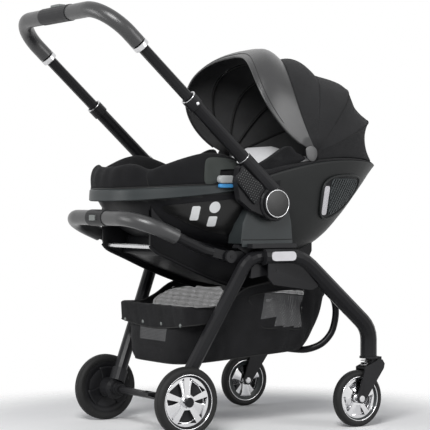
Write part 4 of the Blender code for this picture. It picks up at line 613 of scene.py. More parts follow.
for side_name, side in SIDES.items():
    put("skid_" + side_name, skid(side), "carrier", UNDERSIDE_AND_SHADE)
    edge = smooth_line([(x, side * (SKID_Y + 0.0005), z)
                        for x, z in SKID[2:3] + [(x, z - 0.0005) for x, z in SKID[3:8]]], 40)
    put("skid_bead_" + side_name, sweep(edge, 0.0052, 12), "carrier", PLASTIC)
WALL_ROW = np.linspace(-0.1175, 0.1175, 13)
tray = put("skid_tray", net([[(x, y, BELOW(x) + 0.007 + 0.004 * (y / 0.117) ** 2) for y in WALL_ROW]
                             for x in np.linspace(0.004, 0.398, 40)]),
           "carrier", UNDERSIDE_AND_SHADE)
rear_wall = put("skid_rear_wall", net([[(0.006 + 0.012 * t, y, (BELOW(0.006) + 0.008) * (1 - t)
                                         + (KEEL(0.018) + 0.004) * t) for y in WALL_ROW]
                                       for t in np.linspace(0, 1, 8)]),
                "carrier", UNDERSIDE_AND_SHADE)
for made in (tray, rear_wall):
    apply(made, "SOLIDIFY", thickness=0.003)
_, _, (rod_x, _, rod_z) = node_box("carry_rod")
rod = [(0.0, -0.1160), (0.0052, -0.1160), (0.0058, -0.1152), (0.0058, 0.1152), (0.0052, 0.1160),
       (0.0, 0.1160)]
made = put("carry_bar", lathe(rod, (rod_x, 0, rod_z), (0, 1, 0), 32), "carrier", STEEL, 30)
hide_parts("carry_rod")


def patch(outline, side, out, thick):
    """A thin piece lying on the shell's side inside an outline given in X and Z."""
    layers = [(1.0, out)] + [(share, out + thick) for share in (1.0, 0.75, 0.5, 0.25)]
    return layered(outline, middle_of(outline), layers,
                   lambda x, z, off: (x, side * shell_y(x, z, off), z))


def around(corners, count=48):
    """A smooth closed outline through corners in X and Z."""
    return [(p[0], p[2]) for p in smooth_line([(x, 0, z) for x, z in corners], count, closed=True)]


def disc(cx, cz, r, count=32):
    return [(cx + r * math.cos(a), cz + r * math.sin(a)) for a in full_turn(count)]


def box_outline(x0, z0, x1, z1, r=0.004):
    """A rectangle with round corners."""
    out = []
    for cx, cz, start in ((x1 - r, z1 - r, 0), (x0 + r, z1 - r, 90), (x0 + r, z0 + r, 180),
                          (x1 - r, z0 + r, 270)):
        for a in range(start, start + 91, 18):
            out.append((cx + r * math.cos(math.radians(a)), cz + r * math.sin(math.radians(a))))
    return out


for side_name, side in SIDES.items():
    panel = around([(-0.030, 0.556), (0.030, 0.5655), (0.095, 0.571), (0.152, 0.573), (0.160, 0.540),
                    (0.158, 0.492), (0.110, 0.492), (0.055, 0.508), (0.005, 0.531)], 72)
    put("label_panel_" + side_name, patch(panel, side, 0.0008, 0.0006), "carrier", GLOSS)
    for label, outline in (("tall", box_outline(0.035, 0.523, 0.055, 0.558)),
                           ("round", disc(0.091, 0.555, 0.0140)),
                           ("low", box_outline(0.080, 0.508, 0.102, 0.533))):
        put(f"blank_plate_{label}_{side_name}", patch(outline, side, 0.0016, 0.0004), "carrier", LABEL)

    # vent: frame, a bed painted black to stand in for the shade of the recess behind the grille (painted
    # shade), slanted hatch in a grey that is partly painted highlight, and the pale strip
    vent = around([(0.410, 0.600), (0.411, 0.545), (0.424, 0.527), (0.452, 0.528), (0.505, 0.555),
                   (0.545, 0.597), (0.551, 0.622), (0.532, 0.634), (0.470, 0.634), (0.428, 0.624)], 90)
    # the bed's black stands in for the shade inside the vent's recess: painted shade
    made = put("vent_bed_" + side_name, patch(vent, side, 0.0032, 0.0006), "carrier", UNDERSIDE_AND_SHADE)
    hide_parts("vent_grille_" + side_name)
    rim_line = [(x, side * shell_y(x, z, 0.004), z) for x, z in vent]
    put("vent_frame_" + side_name, sweep(rim_line, 0.0032, 10, closed=True), "carrier", SHELL)
    inner = around([(0.441, 0.545), (0.454, 0.537), (0.502, 0.561), (0.538, 0.598), (0.541, 0.618),
                    (0.525, 0.625), (0.470, 0.626), (0.441, 0.619)], 60)
    lip_line = [(x, side * shell_y(x, z, 0.0045), z) for x, z in inner]
    put("vent_lip_" + side_name, sweep(lip_line, 0.0014, 8, closed=True), "carrier", CASING)
    strip = box_outline(0.4155, 0.534, 0.4335, 0.608, 0.006)
    put("vent_strip_" + side_name, patch(strip, side, 0.0040, 0.0012), "carrier", REFLECT)
    # the ribs' lighter grey stands in for the highlights along them: partly painted highlight
    for kind, slope, gap, radius in (("wide", 2.1, 0.0150, 0.0009), ("fine", -1.35, 0.0110, 0.0006)):
        bars = []
        for offset in np.arange(-0.30, 0.50, gap):
            run = []
            for t in np.linspace(-0.09, 0.09, 61):
                x = 0.49 + offset * 0.6 + t / math.hypot(1, slope)
                z = 0.585 + t * slope / math.hypot(1, slope)
                if inside(x, z, inner):
                    run.append((x, side * shell_y(x, z, 0.0060), z))
            if len(run) > 3:
                bars.append(sweep(run, radius, 6))
        put(f"vent_bars_{kind}_{side_name}", merged(bars), "carrier", HATCH_GREY_AND_HIGHLIGHT)

# side casings: the lower band and its seams
for side_name, side in SIDES.items():
    y = side * 0.2220
    put("casing_band_" + side_name,
        net([[(x, y + side * dy, z) for x, z in box_outline(0.150, 0.4575, 0.2965, 0.4735, 0.002)]
             for dy in (-0.002, 0.0008)], loop=True, ends=True), "carrier", CASING)
    put("casing_seam_" + side_name, sweep([(0.151, y, 0.4752), (0.220, y, 0.4745), (0.299, y, 0.4752)],
                                          0.0009, 8), "carrier", THREAD)


# ---------------------------------------------------------------- the liner

LIFT = curve([-0.122, -0.106, -0.090, -0.072, -0.045, 0.0, 0.075, 0.16, 0.22, 0.30, 0.50, 0.675],
             [0.054, 0.060, 0.055, 0.044, 0.052, 0.066, 0.078, 0.052, 0.020, 0.010, 0.006, 0.005])


def liner_point(angle, station, wobble=0.0):
    """A point of the liner: station 0 is its outer lower edge, 1 the crest, 2 its inner foot."""
    x0, _ = plan(angle, 0.0)
    high = max(0.006, LIFT(x0))
    if station <= 1.0:
        turn = station * math.pi / 2
        inset = 0.0015 + 0.020 * (1 - math.cos(turn)) - 0.0035 * math.sin(turn * 2) * min(1, high / 0.05)
        x, y = plan(angle, inset + wobble)
        return x, y, RIM(x0) + 0.0008 + high * math.sin(turn)
    share = station - 1.0
    inset = 0.0215 + 0.020 * math.sin(share * math.pi / 2)
    x, y = plan(angle, inset)
    low = 0.012 + 0.2 * high
    return x, y, RIM(x0) + high - (high + low) * (1 - math.cos(share * math.pi / 2))


liner_angles = full_turn(168)
liner_rows = []
for station in list(np.linspace(0, 1, 13)) + list(np.linspace(1.12, 2, 10)):
    liner_rows.append([liner_point(a, station, 0.0012 * math.sin(a * 31) * math.sin(min(1, station) * 3.1))
                       for a in liner_angles])
liner_rows += [shell_row(station, liner_angles, 0.030, 0.97, 0.016)
               for station in np.linspace(1.0, 6, 18) if station > 1.6]
liner = put("seat_lining", net(liner_rows, loop=True, ends=True), "carrier", CLOTH, 180)
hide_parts("seat_liner")


def liner_side(x, share, out):
    """A point on the liner's outer side face: share 0 at the rim and 1 at the crest."""
    lo, hi = math.pi / 2, math.pi
    for _ in range(40):
        mid = (lo + hi) / 2
        if plan(mid, 0.0)[0] > x:
            lo = mid
        else:
            hi = mid
    station = math.asin(min(1.0, share)) / (math.pi / 2)
    px, py, pz = liner_point(lo, station)
    return px, abs(py) + out, pz


def on_liner(outline, side, out, thick):
    """A soft piece on the liner's outer face, its outline in X and share of the height."""
    def place(x, share, off):
        px, py, pz = liner_side(x, share, off)
        return px, side * py, pz

    layers = ((1.0, out), (1.0, out + thick * 0.55), (0.93, out + thick * 0.85), (0.75, out + thick),
              (0.5, out + thick), (0.2, out + thick))
    return layered(outline, middle_of(outline), layers, place)


for side_name, side in SIDES.items():
    pad = around([(0.060, 0.05), (0.058, 0.40), (0.064, 0.80), (0.100, 0.86), (0.140, 0.86),
                  (0.149, 0.60), (0.136, 0.52), (0.112, 0.50), (0.088, 0.47), (0.082, 0.30),
                  (0.094, 0.12), (0.080, 0.02)], 72)
    made = put("liner_pad_" + side_name, on_liner(pad, side, 0.0006, 0.0045), "carrier", PAD_CLOTH)
    for label, mat, (cx, cz, wide, tall), (y0, y1) in (
            ("belt_hook_", HOOK, (0.109, 0.6235, 0.022, 0.0095), (0.2065, 0.2195)),
            ("belt_mark_", BLUE, (0.110, 0.6078, 0.020, 0.0048), (0.2065, 0.2165))):
        layers = ((1.0, y0), (1.0, y1 - 0.003), (0.97, y1 - 0.0012), (0.90, y1 - 0.0003), (0.6, y1))
        outline = box_outline(cx - wide, cz - tall, cx + wide, cz + tall, tall * 0.9)
        made = put(label + side_name,
                   layered(outline, (cx, cz), layers, lambda x, z, y: (x, side * y, z)),
                   "carrier", mat, 50)
        if mat is HOOK:
            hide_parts("belt_guide_" + side_name)
    seam = [liner_side(x, s, 0.0006) for x, s in ((-0.066, 0.02), (-0.068, 0.3), (-0.070, 0.6),
                                                  (-0.070, 0.85), (-0.070, 0.97))]
    put("liner_seam_" + side_name, sweep([(x, side * y, z) for x, y, z in smooth_line(seam, 20)], 0.0008, 8),
        "carrier", THREAD)
    piping = [liner_side(x, 0.015, 0.0004) for x in np.linspace(-0.115, 0.20, 40)]
    put("liner_piping_" + side_name, sweep([(x, side * y, z) for x, y, z in piping], 0.0014, 8), "carrier",
        THREAD)
    wing = around([(0.206, 0.652), (0.250, 0.678), (0.311, 0.708), (0.335, 0.692), (0.358, 0.676),
                   (0.305, 0.656), (0.235, 0.637)], 56)
    cx, cz = 0.285, 0.671
    rows = [[(x, side * (0.1825 - 0.25 * max(0, z - 0.675)), z) for x, z in wing]]
    for share, dy in ((1.0, 0.0), (1.0, 0.004), (0.94, 0.0065), (0.75, 0.0075), (0.4, 0.008)):
        rows.append([(cx + (x - cx) * share, side * (0.1905 + dy - 0.25 * max(0, z - 0.675)),
                      cz + (z - cz) * share) for x, z in wing])
    made = put("head_wing_" + side_name, net(rows, loop=True, ends=True), "carrier", CLOTH)


tag = [[(x, -0.162 + 0.003 * math.sin(t * 3), 0.664 + 0.014 * t - 0.25 * (x - 0.14))
        for x in np.linspace(0.128, 0.164, 8)] for t in np.linspace(0, 1, 6)]
made = put("care_tag", net(tag), "carrier", YELLOW)
apply(made, "SOLIDIFY", thickness=0.0008)


# ---------------------------------------------------------------- the newborn insert

top_line = curve([0.25, 0.33, 0.40, 0.46, 0.52, 0.58], [0.530, 0.522, 0.528, 0.550, 0.588, 0.632])


def insert_skin(u, v, under):
    """The cushion's face: u along it and v across it, both from -1 to 1."""
    x = 0.415 + 0.128 * math.copysign(abs(u) ** 0.9, u)
    y = 0.118 * math.copysign(abs(v) ** 0.9, v)
    edge = max(abs(u), abs(v))
    crown = 0.022 * (1 - edge ** 4)
    quilt = 0.0035 * abs(math.sin(u * 7.5) * math.sin(v * 7.5)) * (1 - edge ** 6)
    z = top_line(x) + 0.035 * v * v + (crown + quilt if not under else -0.55 * crown)
    return x, y, z


def cushion_grid():
    """Rows over the cushion: out along its underside, and back over its top."""
    rows = []
    for under, ends in ((True, (0.06, 1.0)), (False, (1.0, 0.06))):
        for r in np.linspace(*ends, 14):
            row = []
            for a in full_turn(72):
                c, s = math.cos(a), math.sin(a)
                k = (abs(c) ** 5 + abs(s) ** 5) ** (-0.2)
                row.append(insert_skin(r * c * k, r * s * k, under))
            rows.append(row)
    return net(rows, loop=True, ends=True)


insert = put("newborn_cushion", cushion_grid(), "carrier", INSERT, 180)
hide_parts("newborn_insert")
hug_side = [(0.300, -0.112, 0.625), (0.345, -0.120, 0.642), (0.395, -0.122, 0.644),
            (0.450, -0.114, 0.636), (0.510, -0.088, 0.630)]
hug = smooth_line(hug_side + [(0.540, 0.0, 0.628)] + [(x, -y, z) for x, y, z in hug_side[::-1]], 90)


def hug_radius(t):
    """Radius of the head hugger, thin at its two ends."""
    end = min(t, 1 - t)
    return 0.006 + 0.034 * min(1.0, end / 0.10) ** 0.55 * (1 + 0.02 * math.sin(t * 90))


made = put("head_hugger", sweep(hug, hug_radius, 24, up=(0, 0, 1), flat=1.05), "carrier", INSERT,
           180)

# the crowned top of the insert
rows = []
for lift in np.linspace(-0.6, 1.0, 26)[:-1]:
    wide = math.sqrt(1 - lift * lift)
    row = []
    for a in full_turn(72):
        bulge = math.copysign(abs(math.sin(a)) ** 0.8, math.sin(a))
        row.append((0.348 + 0.080 * wide * math.cos(a), 0.098 * wide * bulge,
                    0.655 + 0.059 * lift + 0.006 * math.cos(a) * wide))
    rows.append(row)
made = put("insert_crown", net(rows, loop=True, ends=True), "carrier", INSERT, 180)

# harness: straps and shoulder pads, on lines of (X, distance from the middle, Z)
STRAP = [(0.470, 0.040, 0.590), (0.400, 0.042, 0.566), (0.300, 0.046, 0.556), (0.200, 0.040, 0.530),
         (0.130, 0.024, 0.510), (0.105, 0.012, 0.504)]
SHOULDER = [(0.455, 0.041, 0.588), (0.380, 0.044, 0.568), (0.290, 0.046, 0.560)]
for side_name, side in SIDES.items():
    strap, shoulder = (smooth_line([(x, side * y, z) for x, y, z in corners], count)
                       for corners, count in ((STRAP, 40), (SHOULDER, 30)))
    put("harness_strap_" + side_name, sweep(strap, 0.0115, 10, flat=0.10, up=(0, 0, 1)), "carrier",
        THREAD)
    made = put("harness_pad_" + side_name, sweep(shoulder, 0.021, 16, flat=0.30, up=(0, 0, 1)),
               "carrier", CLOTH)


# ---------------------------------------------------------------- the canopy

#         crest angle, crest radius, lean of the sides, how the lean grows
KNOTS = {
    "band": [(114, 0.278, 44, 0.50), (106, 0.282, 42, 0.44), (97, 0.279, 40, 0.36),
             (90, 0.266, 38, 0.30), (84.5, 0.250, 36, 0.25)],
    "second": [(84.5, 0.248, 36, 0.25), (80, 0.251, 30, 0.25), (75, 0.246, 27, 0.25),
               (70, 0.233, 24, 0.25), (66, 0.221, 22, 0.25)],
    "third": [(66.5, 0.220, 22, 0.25), (61, 0.223, 19, 0.25), (55, 0.230, 15, 0.25),
              (50, 0.237, 11, 0.25), (45, 0.240, 8, 0.25)],
    "fourth": [(45.5, 0.239, 8, 0.25), (40, 0.229, 6, 0.25), (35, 0.224, 4, 0.25),
               (29, 0.231, 2, 0.25), (23, 0.248, 0, 0.25)],
}
HOOD_HALF = 0.2075


def hood_point(angle, radius, lean, power, turn, inward=0.0):
    """A point of the hood: turn goes from -90 degrees at the right pivot to 90 at the left."""
    s, c = math.sin(turn), max(0.0, math.cos(turn))
    y = (HOOD_HALF - inward) * math.copysign(abs(s) ** 0.62, s)
    high = c ** 0.48
    r = (radius - inward) * high
    a = math.radians(angle + lean * (1 - high) ** power)
    return PIVOT[0] + r * math.cos(a), y, PIVOT[1] + r * math.sin(a)


def knots_at(key, t):
    """The knots of one gore, read at a share t of its way round the pivots."""
    rows = KNOTS[key]
    spots = np.linspace(0, 1, len(rows))
    return [curve(spots, [row[k] for row in rows])(t) for k in range(4)]


TURNS = [math.asin(math.sin(t)) for t in np.linspace(-math.pi / 2, math.pi / 2, 73)]
TURNS = [math.copysign(abs(t / (math.pi / 2)) ** 0.85 * math.pi / 2, t) for t in TURNS]


def gore(key, count=18):
    """Rows of one gore, each from the right pivot to the left."""
    return [[hood_point(*knots_at(key, t), turn) for turn in TURNS] for t in np.linspace(0, 1, count)]


def hood_piece(name, rows, body, outer, cad, flat, ribs, thick=0.0016):
    """A lined sheet of the hood in the place of a CAD node, stretched over its ribs."""
    made = put(name, net(rows), body, [outer, LINING], 60)
    apply(made, "SOLIDIFY", thickness=thick, offset=-1, use_rim=True, material_offset=1)
    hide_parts(cad)
    sheet_of(made, *flat, "stretched", ribs)


hood_piece("canopy_leather_band", gore("band", 26), "canopy_front", LEATHER,
           "canopy_band", (0.15, 0.86), ["canopy_front_rib", "canopy_rib_band"], 0.0030)
for key, flat, before in (("second", (0.12, 0.84), "band"), ("third", (0.14, 0.82), "second"),
                          ("fourth", (0.13, 0.84), "third")):
    hood_piece("canopy_gore_" + key, gore(key), "canopy_" + key, HOOD,
               "canopy_panel_" + key, flat, ["canopy_rib_" + before, "canopy_rib_" + key])

last = [hood_point(23.5, 0.2472, 0, 0.25, turn) for turn in TURNS]
start = math.acos(min(1.0, max(-1.0, (PIVOT[0] - MIDDLE) / HEAD)))
for _ in range(30):
    start += (plan(start, 0.012)[0] - PIVOT[0]) * 1.5
hem_line = []
for turn in TURNS:
    x, y = plan(turn / (math.pi / 2) * start, 0.010)
    hem_line.append((x, y, RIM(x) + max(0.004, LIFT(x)) + 0.002))
tail_rows = []
for t in np.linspace(0, 1, 26):
    row = []
    for p, h, turn in zip(last, hem_line, TURNS):
        c = max(0.0, math.cos(turn)) ** 0.48
        mid = [p[k] * (1 - t) + h[k] * t for k in range(3)]
        pull = 0.020 * c * math.sin(math.pi * min(1.0, t * 1.05)) - 0.004 * c * math.sin(math.pi * t) ** 3
        dx, dz = mid[0] - PIVOT[0], mid[2] - PIVOT[1]
        size = max(1e-6, math.hypot(dx, dz))
        row.append((mid[0] - pull * dx / size, mid[1], mid[2] - pull * dz / size * 0.6))
    tail_rows.append(row)
hood_piece("canopy_rear_cloth", tail_rows, "carrier", HOOD, "canopy_tail",
           (0.17, 0.92), ["canopy_rib_fourth", "shell_body"])

for name, body_name, spot, size, mat, inward in (
        ("canopy_front_rib", "canopy_front", KNOTS["band"][0], 0.0030, LEATHER, 0.0010),
        ("canopy_rib_band", "canopy_front", KNOTS["band"][-1], 0.0026, THREAD, 0.0040),
        ("canopy_rib_second", "canopy_second", KNOTS["second"][-1], 0.0026, THREAD, 0.0042),
        ("canopy_rib_third", "canopy_third", KNOTS["third"][-1], 0.0032, THREAD, 0.0042),
        ("canopy_rib_fourth", "canopy_fourth", KNOTS["fourth"][-1], 0.0032, THREAD, 0.0042)):
    line = [hood_point(*spot, turn, inward) for turn in TURNS[1:-1]]
    put(name, sweep(line, size, 10), body_name, mat)
line = [hood_point(*knots_at("band", 0.11), turn, -0.0003) for turn in TURNS[5:-5]]
put("band_stitch_front", sweep(line, 0.0007, 6), "canopy_front", THREAD)
for key in ("third", "fourth"):
    line = [hood_point(*knots_at(key, 0.985), turn, -0.0002) for turn in TURNS[4:-4]]
    put("seam_" + key, sweep(line, 0.0007, 6), "canopy_" + key, THREAD)
for side_name, side in SIDES.items():
    tab = around([(0.352, 0.702), (0.362, 0.709), (0.374, 0.708), (0.384, 0.700), (0.386, 0.686),
                  (0.381, 0.675), (0.373, 0.670), (0.361, 0.673), (0.353, 0.684)], 48)
    layers = ((1.0, -0.0022), (1.0, -0.0006), (0.97, 0.0), (0.90, 0.0003), (0.3, 0.0003))
    put("band_tab_" + side_name,
        layered(tab, (0.369, 0.689), layers, lambda x, z, dy: (x, side * (HOOD_HALF + 0.0006 + dy), z)),
        "canopy_front", LEATHER, 25)


# ---------------------------------------------------------------- the basket

EDGE = curve([0.0, 0.072, 0.14, 0.18, 0.25, 0.33, 0.37, 0.41, 0.445, 0.462],
             [0.300, 0.303, 0.325, 0.350, 0.366, 0.372, 0.372, 0.355, 0.335, 0.320])
FLOOR_Z = 0.165                 # Z of the floor's edge at the rear


def basket_ends(share):
    """X of the basket's rear and front at a share of its height."""
    return 0.016 + 0.014 * share, 0.426 + 0.040 * (1 - (1 - share) ** 1.6)


def floor_rise(x):
    """How far the basket's floor has climbed at X, from its rear to its front."""
    return 0.025 * min(1.0, max(0.0, (x - 0.02) / 0.40))


def tub(share, angle, inset=0.0, slack=0.0):
    """A point of the basket: share 0 at the floor's edge and 1 at the top edge."""
    rear, front = basket_ends(share)
    half = 0.150 + 0.032 * share - inset
    c, s = math.cos(angle), math.sin(angle)
    x = (rear + front) / 2 + ((front - rear) / 2 - inset) * math.copysign(abs(c) ** 0.40, c)
    y = half * math.copysign(abs(s) ** 0.40, s)
    waves = math.sin(x * 62 + share * 4) + 0.6 * math.sin(x * 31 - share * 5)
    fold = slack * waves * math.sin(math.pi * share) ** 0.6
    fold += slack * 1.3 * math.sin(x * 140 + y * 30) * max(0.0, 1 - share * 3.0) * share * 6
    y += math.copysign(fold, y) * min(1.0, abs(s) * 1.5)
    low = FLOOR_Z + floor_rise(x)
    z = low + (EDGE(x) - low) * share
    return x, y, z


turns = full_turn(240)
shares = np.linspace(0.0, 1.0, 40)
tub_rows = [[tub(s, a, 0.010 * (1 - s) ** 8, 0.0030) for a in turns] for s in shares]
SIDE_WINDOW = [(0.200, 0.330), (0.290, 0.345), (0.367, 0.341), (0.361, 0.301), (0.370, 0.246),
               (0.300, 0.250), (0.248, 0.254), (0.227, 0.295)]
FAR_WINDOW = ([(0.125, 0.285), (0.135, 0.314), (0.190, 0.338)] + SIDE_WINDOW[1:6]
              + [(0.248, 0.254), (0.160, 0.262)])


def basket_part(i, j):
    """Cloth, the side windows' net or the net of the rear and the front."""
    x, y, z = tub_rows[i][j]
    if abs(y) > 0.120 and inside(x, z, SIDE_WINDOW if y < 0 else FAR_WINDOW):
        return 1
    if x < 0.060 and abs(y) < 0.066 and 0.218 < z < 0.252:
        return 2
    if x > 0.425 and abs(y) < 0.125 and 0.215 < z < 0.325:
        return 2
    return 0


basket = put("basket_cloth_body", net(tub_rows, loop=True, choose=basket_part), "front_frame",
             [BASKET, NET, REAR_NET], 180)
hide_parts("basket")
apply(basket, "SOLIDIFY", thickness=0.0014, offset=-1)
floor_rows = []
for t in (1.0, 0.8, 0.55, 0.3, 0.08):
    row = []
    for a in turns:
        x, y, z = tub(0.0, a, 0.010)
        x = 0.2155 + (x - 0.2155) * t
        row.append((x, y * t, FLOOR_Z + 0.0005 + floor_rise(x)))
    floor_rows.append(row)
made = put("basket_floor", net(floor_rows, loop=True, ends=True), "front_frame", BASKET)
apply(made, "SOLIDIFY", thickness=0.0018, offset=0)
sheet_of(basket, 0.20, 1.28, "hung", ["basket_hem", "front_leg_left", "front_leg_right"])
put("basket_hem", sweep([tub(1.0, a, 0.0) for a in turns], 0.0032, 10, closed=True, flat=0.7), "front_frame",
    THREAD)
put("basket_seam", sweep([tub(0.01, a, 0.009) for a in turns], 0.0016, 8, closed=True), "front_frame", THREAD)
for side_name, side in SIDES.items():
    line = []
    for x, z in around(SIDE_WINDOW if side < 0 else FAR_WINDOW, 80):
        low = FLOOR_Z + floor_rise(x)
        s = (z - low) / (EDGE(x) - low)
        rear, front = basket_ends(s)
        mid, reach = (rear + front) / 2, (front - rear) / 2
        bulge = (1 - abs((x - mid) / reach) ** 5) ** 0.2
        line.append((x, side * (0.1506 + 0.032 * s) * bulge * 1.003, z))
    put("window_tape_" + side_name, sweep(line, 0.0024, 8, closed=True, flat=0.6), "front_frame", THREAD)

# the flap rolled over the basket's rear edge, with its snaps, and the hoop in front
flap_rows = []
for t in np.linspace(0, 1, 22):
    row = []
    for v in np.linspace(-1, 1, 97):
        run = abs(v) * 0.230
        if run < 0.150:
            px, py = 0.0, run
        elif run < 0.150 + 0.047:
            turn = (run - 0.150) / 0.030
            px, py = 0.030 * (1 - math.cos(turn)), 0.150 + 0.030 * math.sin(turn)
        else:
            px, py = 0.030 + run - 0.197, 0.180
        y = math.copysign(py, v)
        if t < 0.35:
            turn = t / 0.35 * math.pi * 0.72
            out, z = 0.011 * math.cos(turn), 0.300 + 0.010 * math.sin(turn)
        else:
            u = (t - 0.35) / 0.65
            out, z = -0.0075 + 0.004 * u, 0.3078 - (0.046 + 0.010 * math.cos(v * 2.6)) * u
        ripple = 0.0018 * math.sin(v * 17 + t * 2) * t + 0.0003 * math.sin(v * 41)
        row.append((0.029 + px + out * (1 - px / 0.05) - abs(ripple) * 0.6,
                    y - math.copysign(out * min(1.0, px / 0.03), v), z + 0.8 * ripple * (1 - t)))
    flap_rows.append(row)
flap = put("basket_flap", net(flap_rows), "front_frame", BASKET, 180)
apply(flap, "SOLIDIFY", thickness=0.0016, offset=0)
sheet_of(flap, 0.085, 0.460, "hung", ["basket_hem"])
for k, y in enumerate((-0.138, -0.046, 0.046, 0.138)):
    put(f"flap_snap_{k}", lathe([(0.0045, -0.0015), (0.0050, 0.0), (0.0042, 0.0012), (0.0018, 0.0020)],
                                (0.0235, y, 0.2640), (-1, 0, 0), 20), "front_frame", GREY)
hoop_side = [(0.434, -0.185, 0.338), (0.457, -0.178, 0.320), (0.470, -0.171, 0.293),
             (0.469, -0.169, 0.262), (0.458, -0.167, 0.230), (0.434, -0.160, 0.204),
             (0.408, -0.140, 0.190), (0.398, -0.100, 0.186)]
hoop_line = smooth_line(hoop_side + [(0.397, 0.0, 0.186)]
                        + [(x, -y, z) for x, y, z in hoop_side[::-1]], 160)
made = put("basket_front_hoop", sweep(hoop_line, 0.0088, 16), "front_frame", TUBE, 60)
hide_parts("basket_hoop")
put("flap_binding", sweep([(x - 0.0004, y, z) for x, y, z in flap_rows[-1]], 0.0018, 8),
    "front_frame", THREAD)


# ---------------------------------------------------------------- the wheels

def wheel(side_name, side, kind, body_name):
    """Tyre, dished rim, three spokes and hub of one wheel, the outer face bright."""
    low, high, centre = node_box(f"{kind}_tyre_{side_name}")
    radius, w = (high[2] - low[2]) / 2, (high[1] - low[1]) / 2
    axis = (0, side, 0)
    base = f"{kind}_wheel_{side_name}"

    def ring(profile):
        """A body of revolution from shares of the wheel's radius and half width."""
        return lathe([(r * radius, t * w) for r, t in profile], centre, axis, 96)

    def thread(radius_share, at, thick, count=11):
        return lathe(ring_section(radius * radius_share, at, thick, count), centre, axis, 96)

    half_tyre = [(0.800, 0.86), (0.86, 0.97), (0.90, 1.0), (0.945, 0.90), (0.980, 0.66), (0.996, 0.36)]
    made = put(base + "_tyre", ring([(0.780, -0.80)] + [(r, -t) for r, t in half_tyre] + [(1.0, 0.0)]
                                    + half_tyre[::-1] + [(0.780, 0.80), (0.770, 0.0), (0.780, -0.80)]),
               body_name, RUBBER, 50)
    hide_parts(f"{kind}_tyre_{side_name}")
    for number, spot in enumerate((-0.46, 0.46)):
        put(f"{base}_groove_{number}", thread(0.9905, w * spot, 0.0007, 9), body_name, THREAD)
    both = kind == "front"
    back = [(0.640, -0.52), (0.700, -0.62), (0.760, -0.80)] if both else [(0.640, -0.60), (0.755, -0.74)]
    made = put(base + "_rim", ring([(0.785, 0.72), (0.778, 0.82), (0.762, 0.80), (0.700, 0.30),
                                    (0.640, -0.14), (0.605, -0.34), (0.590, -0.34), (0.590, -0.46)]
                                   + back + [(0.785, -0.72), (0.790, 0.0), (0.785, 0.72)]),
               body_name, CASING if both else PLASTIC, 50)
    for number, face in enumerate((1, -1) if both else (1,)):
        put(f"{base}_bead_{number}", thread(0.780, face * w * 0.84, 0.0012), body_name, CHROME)
    put(base + "_inner_ring", thread(0.606, -w * 0.30, 0.0010), body_name, CHROME)
    put(base + "_hub", ring([(0.0, 0.42), (0.060, 0.40), (0.110, 0.34), (0.135, 0.24), (0.175, 0.14),
                             (0.200, 0.02), (0.200, -0.60), (0.130, -0.66), (0.0, -0.66)]),
        body_name, PLASTIC, 40)
    put(base + "_cap", ring([(0.0, 0.54), (0.050, 0.53), (0.085, 0.48), (0.105, 0.38), (0.105, 0.30),
                             (0.0, 0.30)]), body_name, CHROME, 40)
    if not both:
        put(base + "_back_plate", ring([(0.180, -0.46), (0.400, -0.42), (0.592, -0.40), (0.592, -0.46),
                                        (0.400, -0.48), (0.180, -0.52), (0.180, -0.46)]), body_name, PLASTIC,
            50)
    for number in range(3):
        turn = math.radians((150 if both else 90) + 120 * number)
        for face, mat in ((1, CHROME), (-1, CHROME if both else PLASTIC)):
            rows = []
            for t in np.linspace(0, 1, 12):
                r = radius * (0.13 + 0.50 * t)
                half = radius * (0.135 + 0.02 * t + 0.11 * t ** 3)
                row = []
                for v in np.linspace(-1, 1, 13):
                    a = half * v
                    rise = w * (0.10 - 0.36 * t - 0.03 * v * v) if face > 0 else -w * (0.62 - 0.05 * v * v)
                    reach = math.sqrt(max(1e-9, r * r - a * a * 0.6))
                    row.append((centre[0] + (math.cos(turn) * reach - math.sin(turn) * a),
                                centre[1] + side * rise,
                                centre[2] + (math.sin(turn) * reach + math.cos(turn) * a)))
                rows.append(row)
            name = f"{base}_spoke_{number}" + ("" if face > 0 else "_back")
            made = put(name, net(rows), body_name, mat, 60)
            apply(made, "SOLIDIFY", thickness=w * 0.16, offset=-1 if face * side > 0 else 1)
            bpy.ops.object.mode_set(mode="EDIT")
            bpy.ops.mesh.select_all(action="SELECT")
            bpy.ops.mesh.normals_make_consistent(inside=False)
            bpy.ops.object.mode_set(mode="OBJECT")


for side_name, side in SIDES.items():
    for kind in ("rear", "front"):
        wheel(side_name, side, kind, f"{kind}_wheel_{side_name}")


# ---------------------------------------------------------------- handle, hub and grab bar

LEAN = math.radians(42.2)
ALONG = Vector((-math.cos(LEAN), 0, math.sin(LEAN)))
ABOVE = Vector((math.sin(LEAN), 0, math.cos(LEAN)))


def on_handle(distance, y, above=TUBE_RISE):
    """A point by its distance from the hub along the tubes and its height above them."""
    return Vector((HUB[0], y, HUB[1])) + ALONG * distance + ABOVE * above


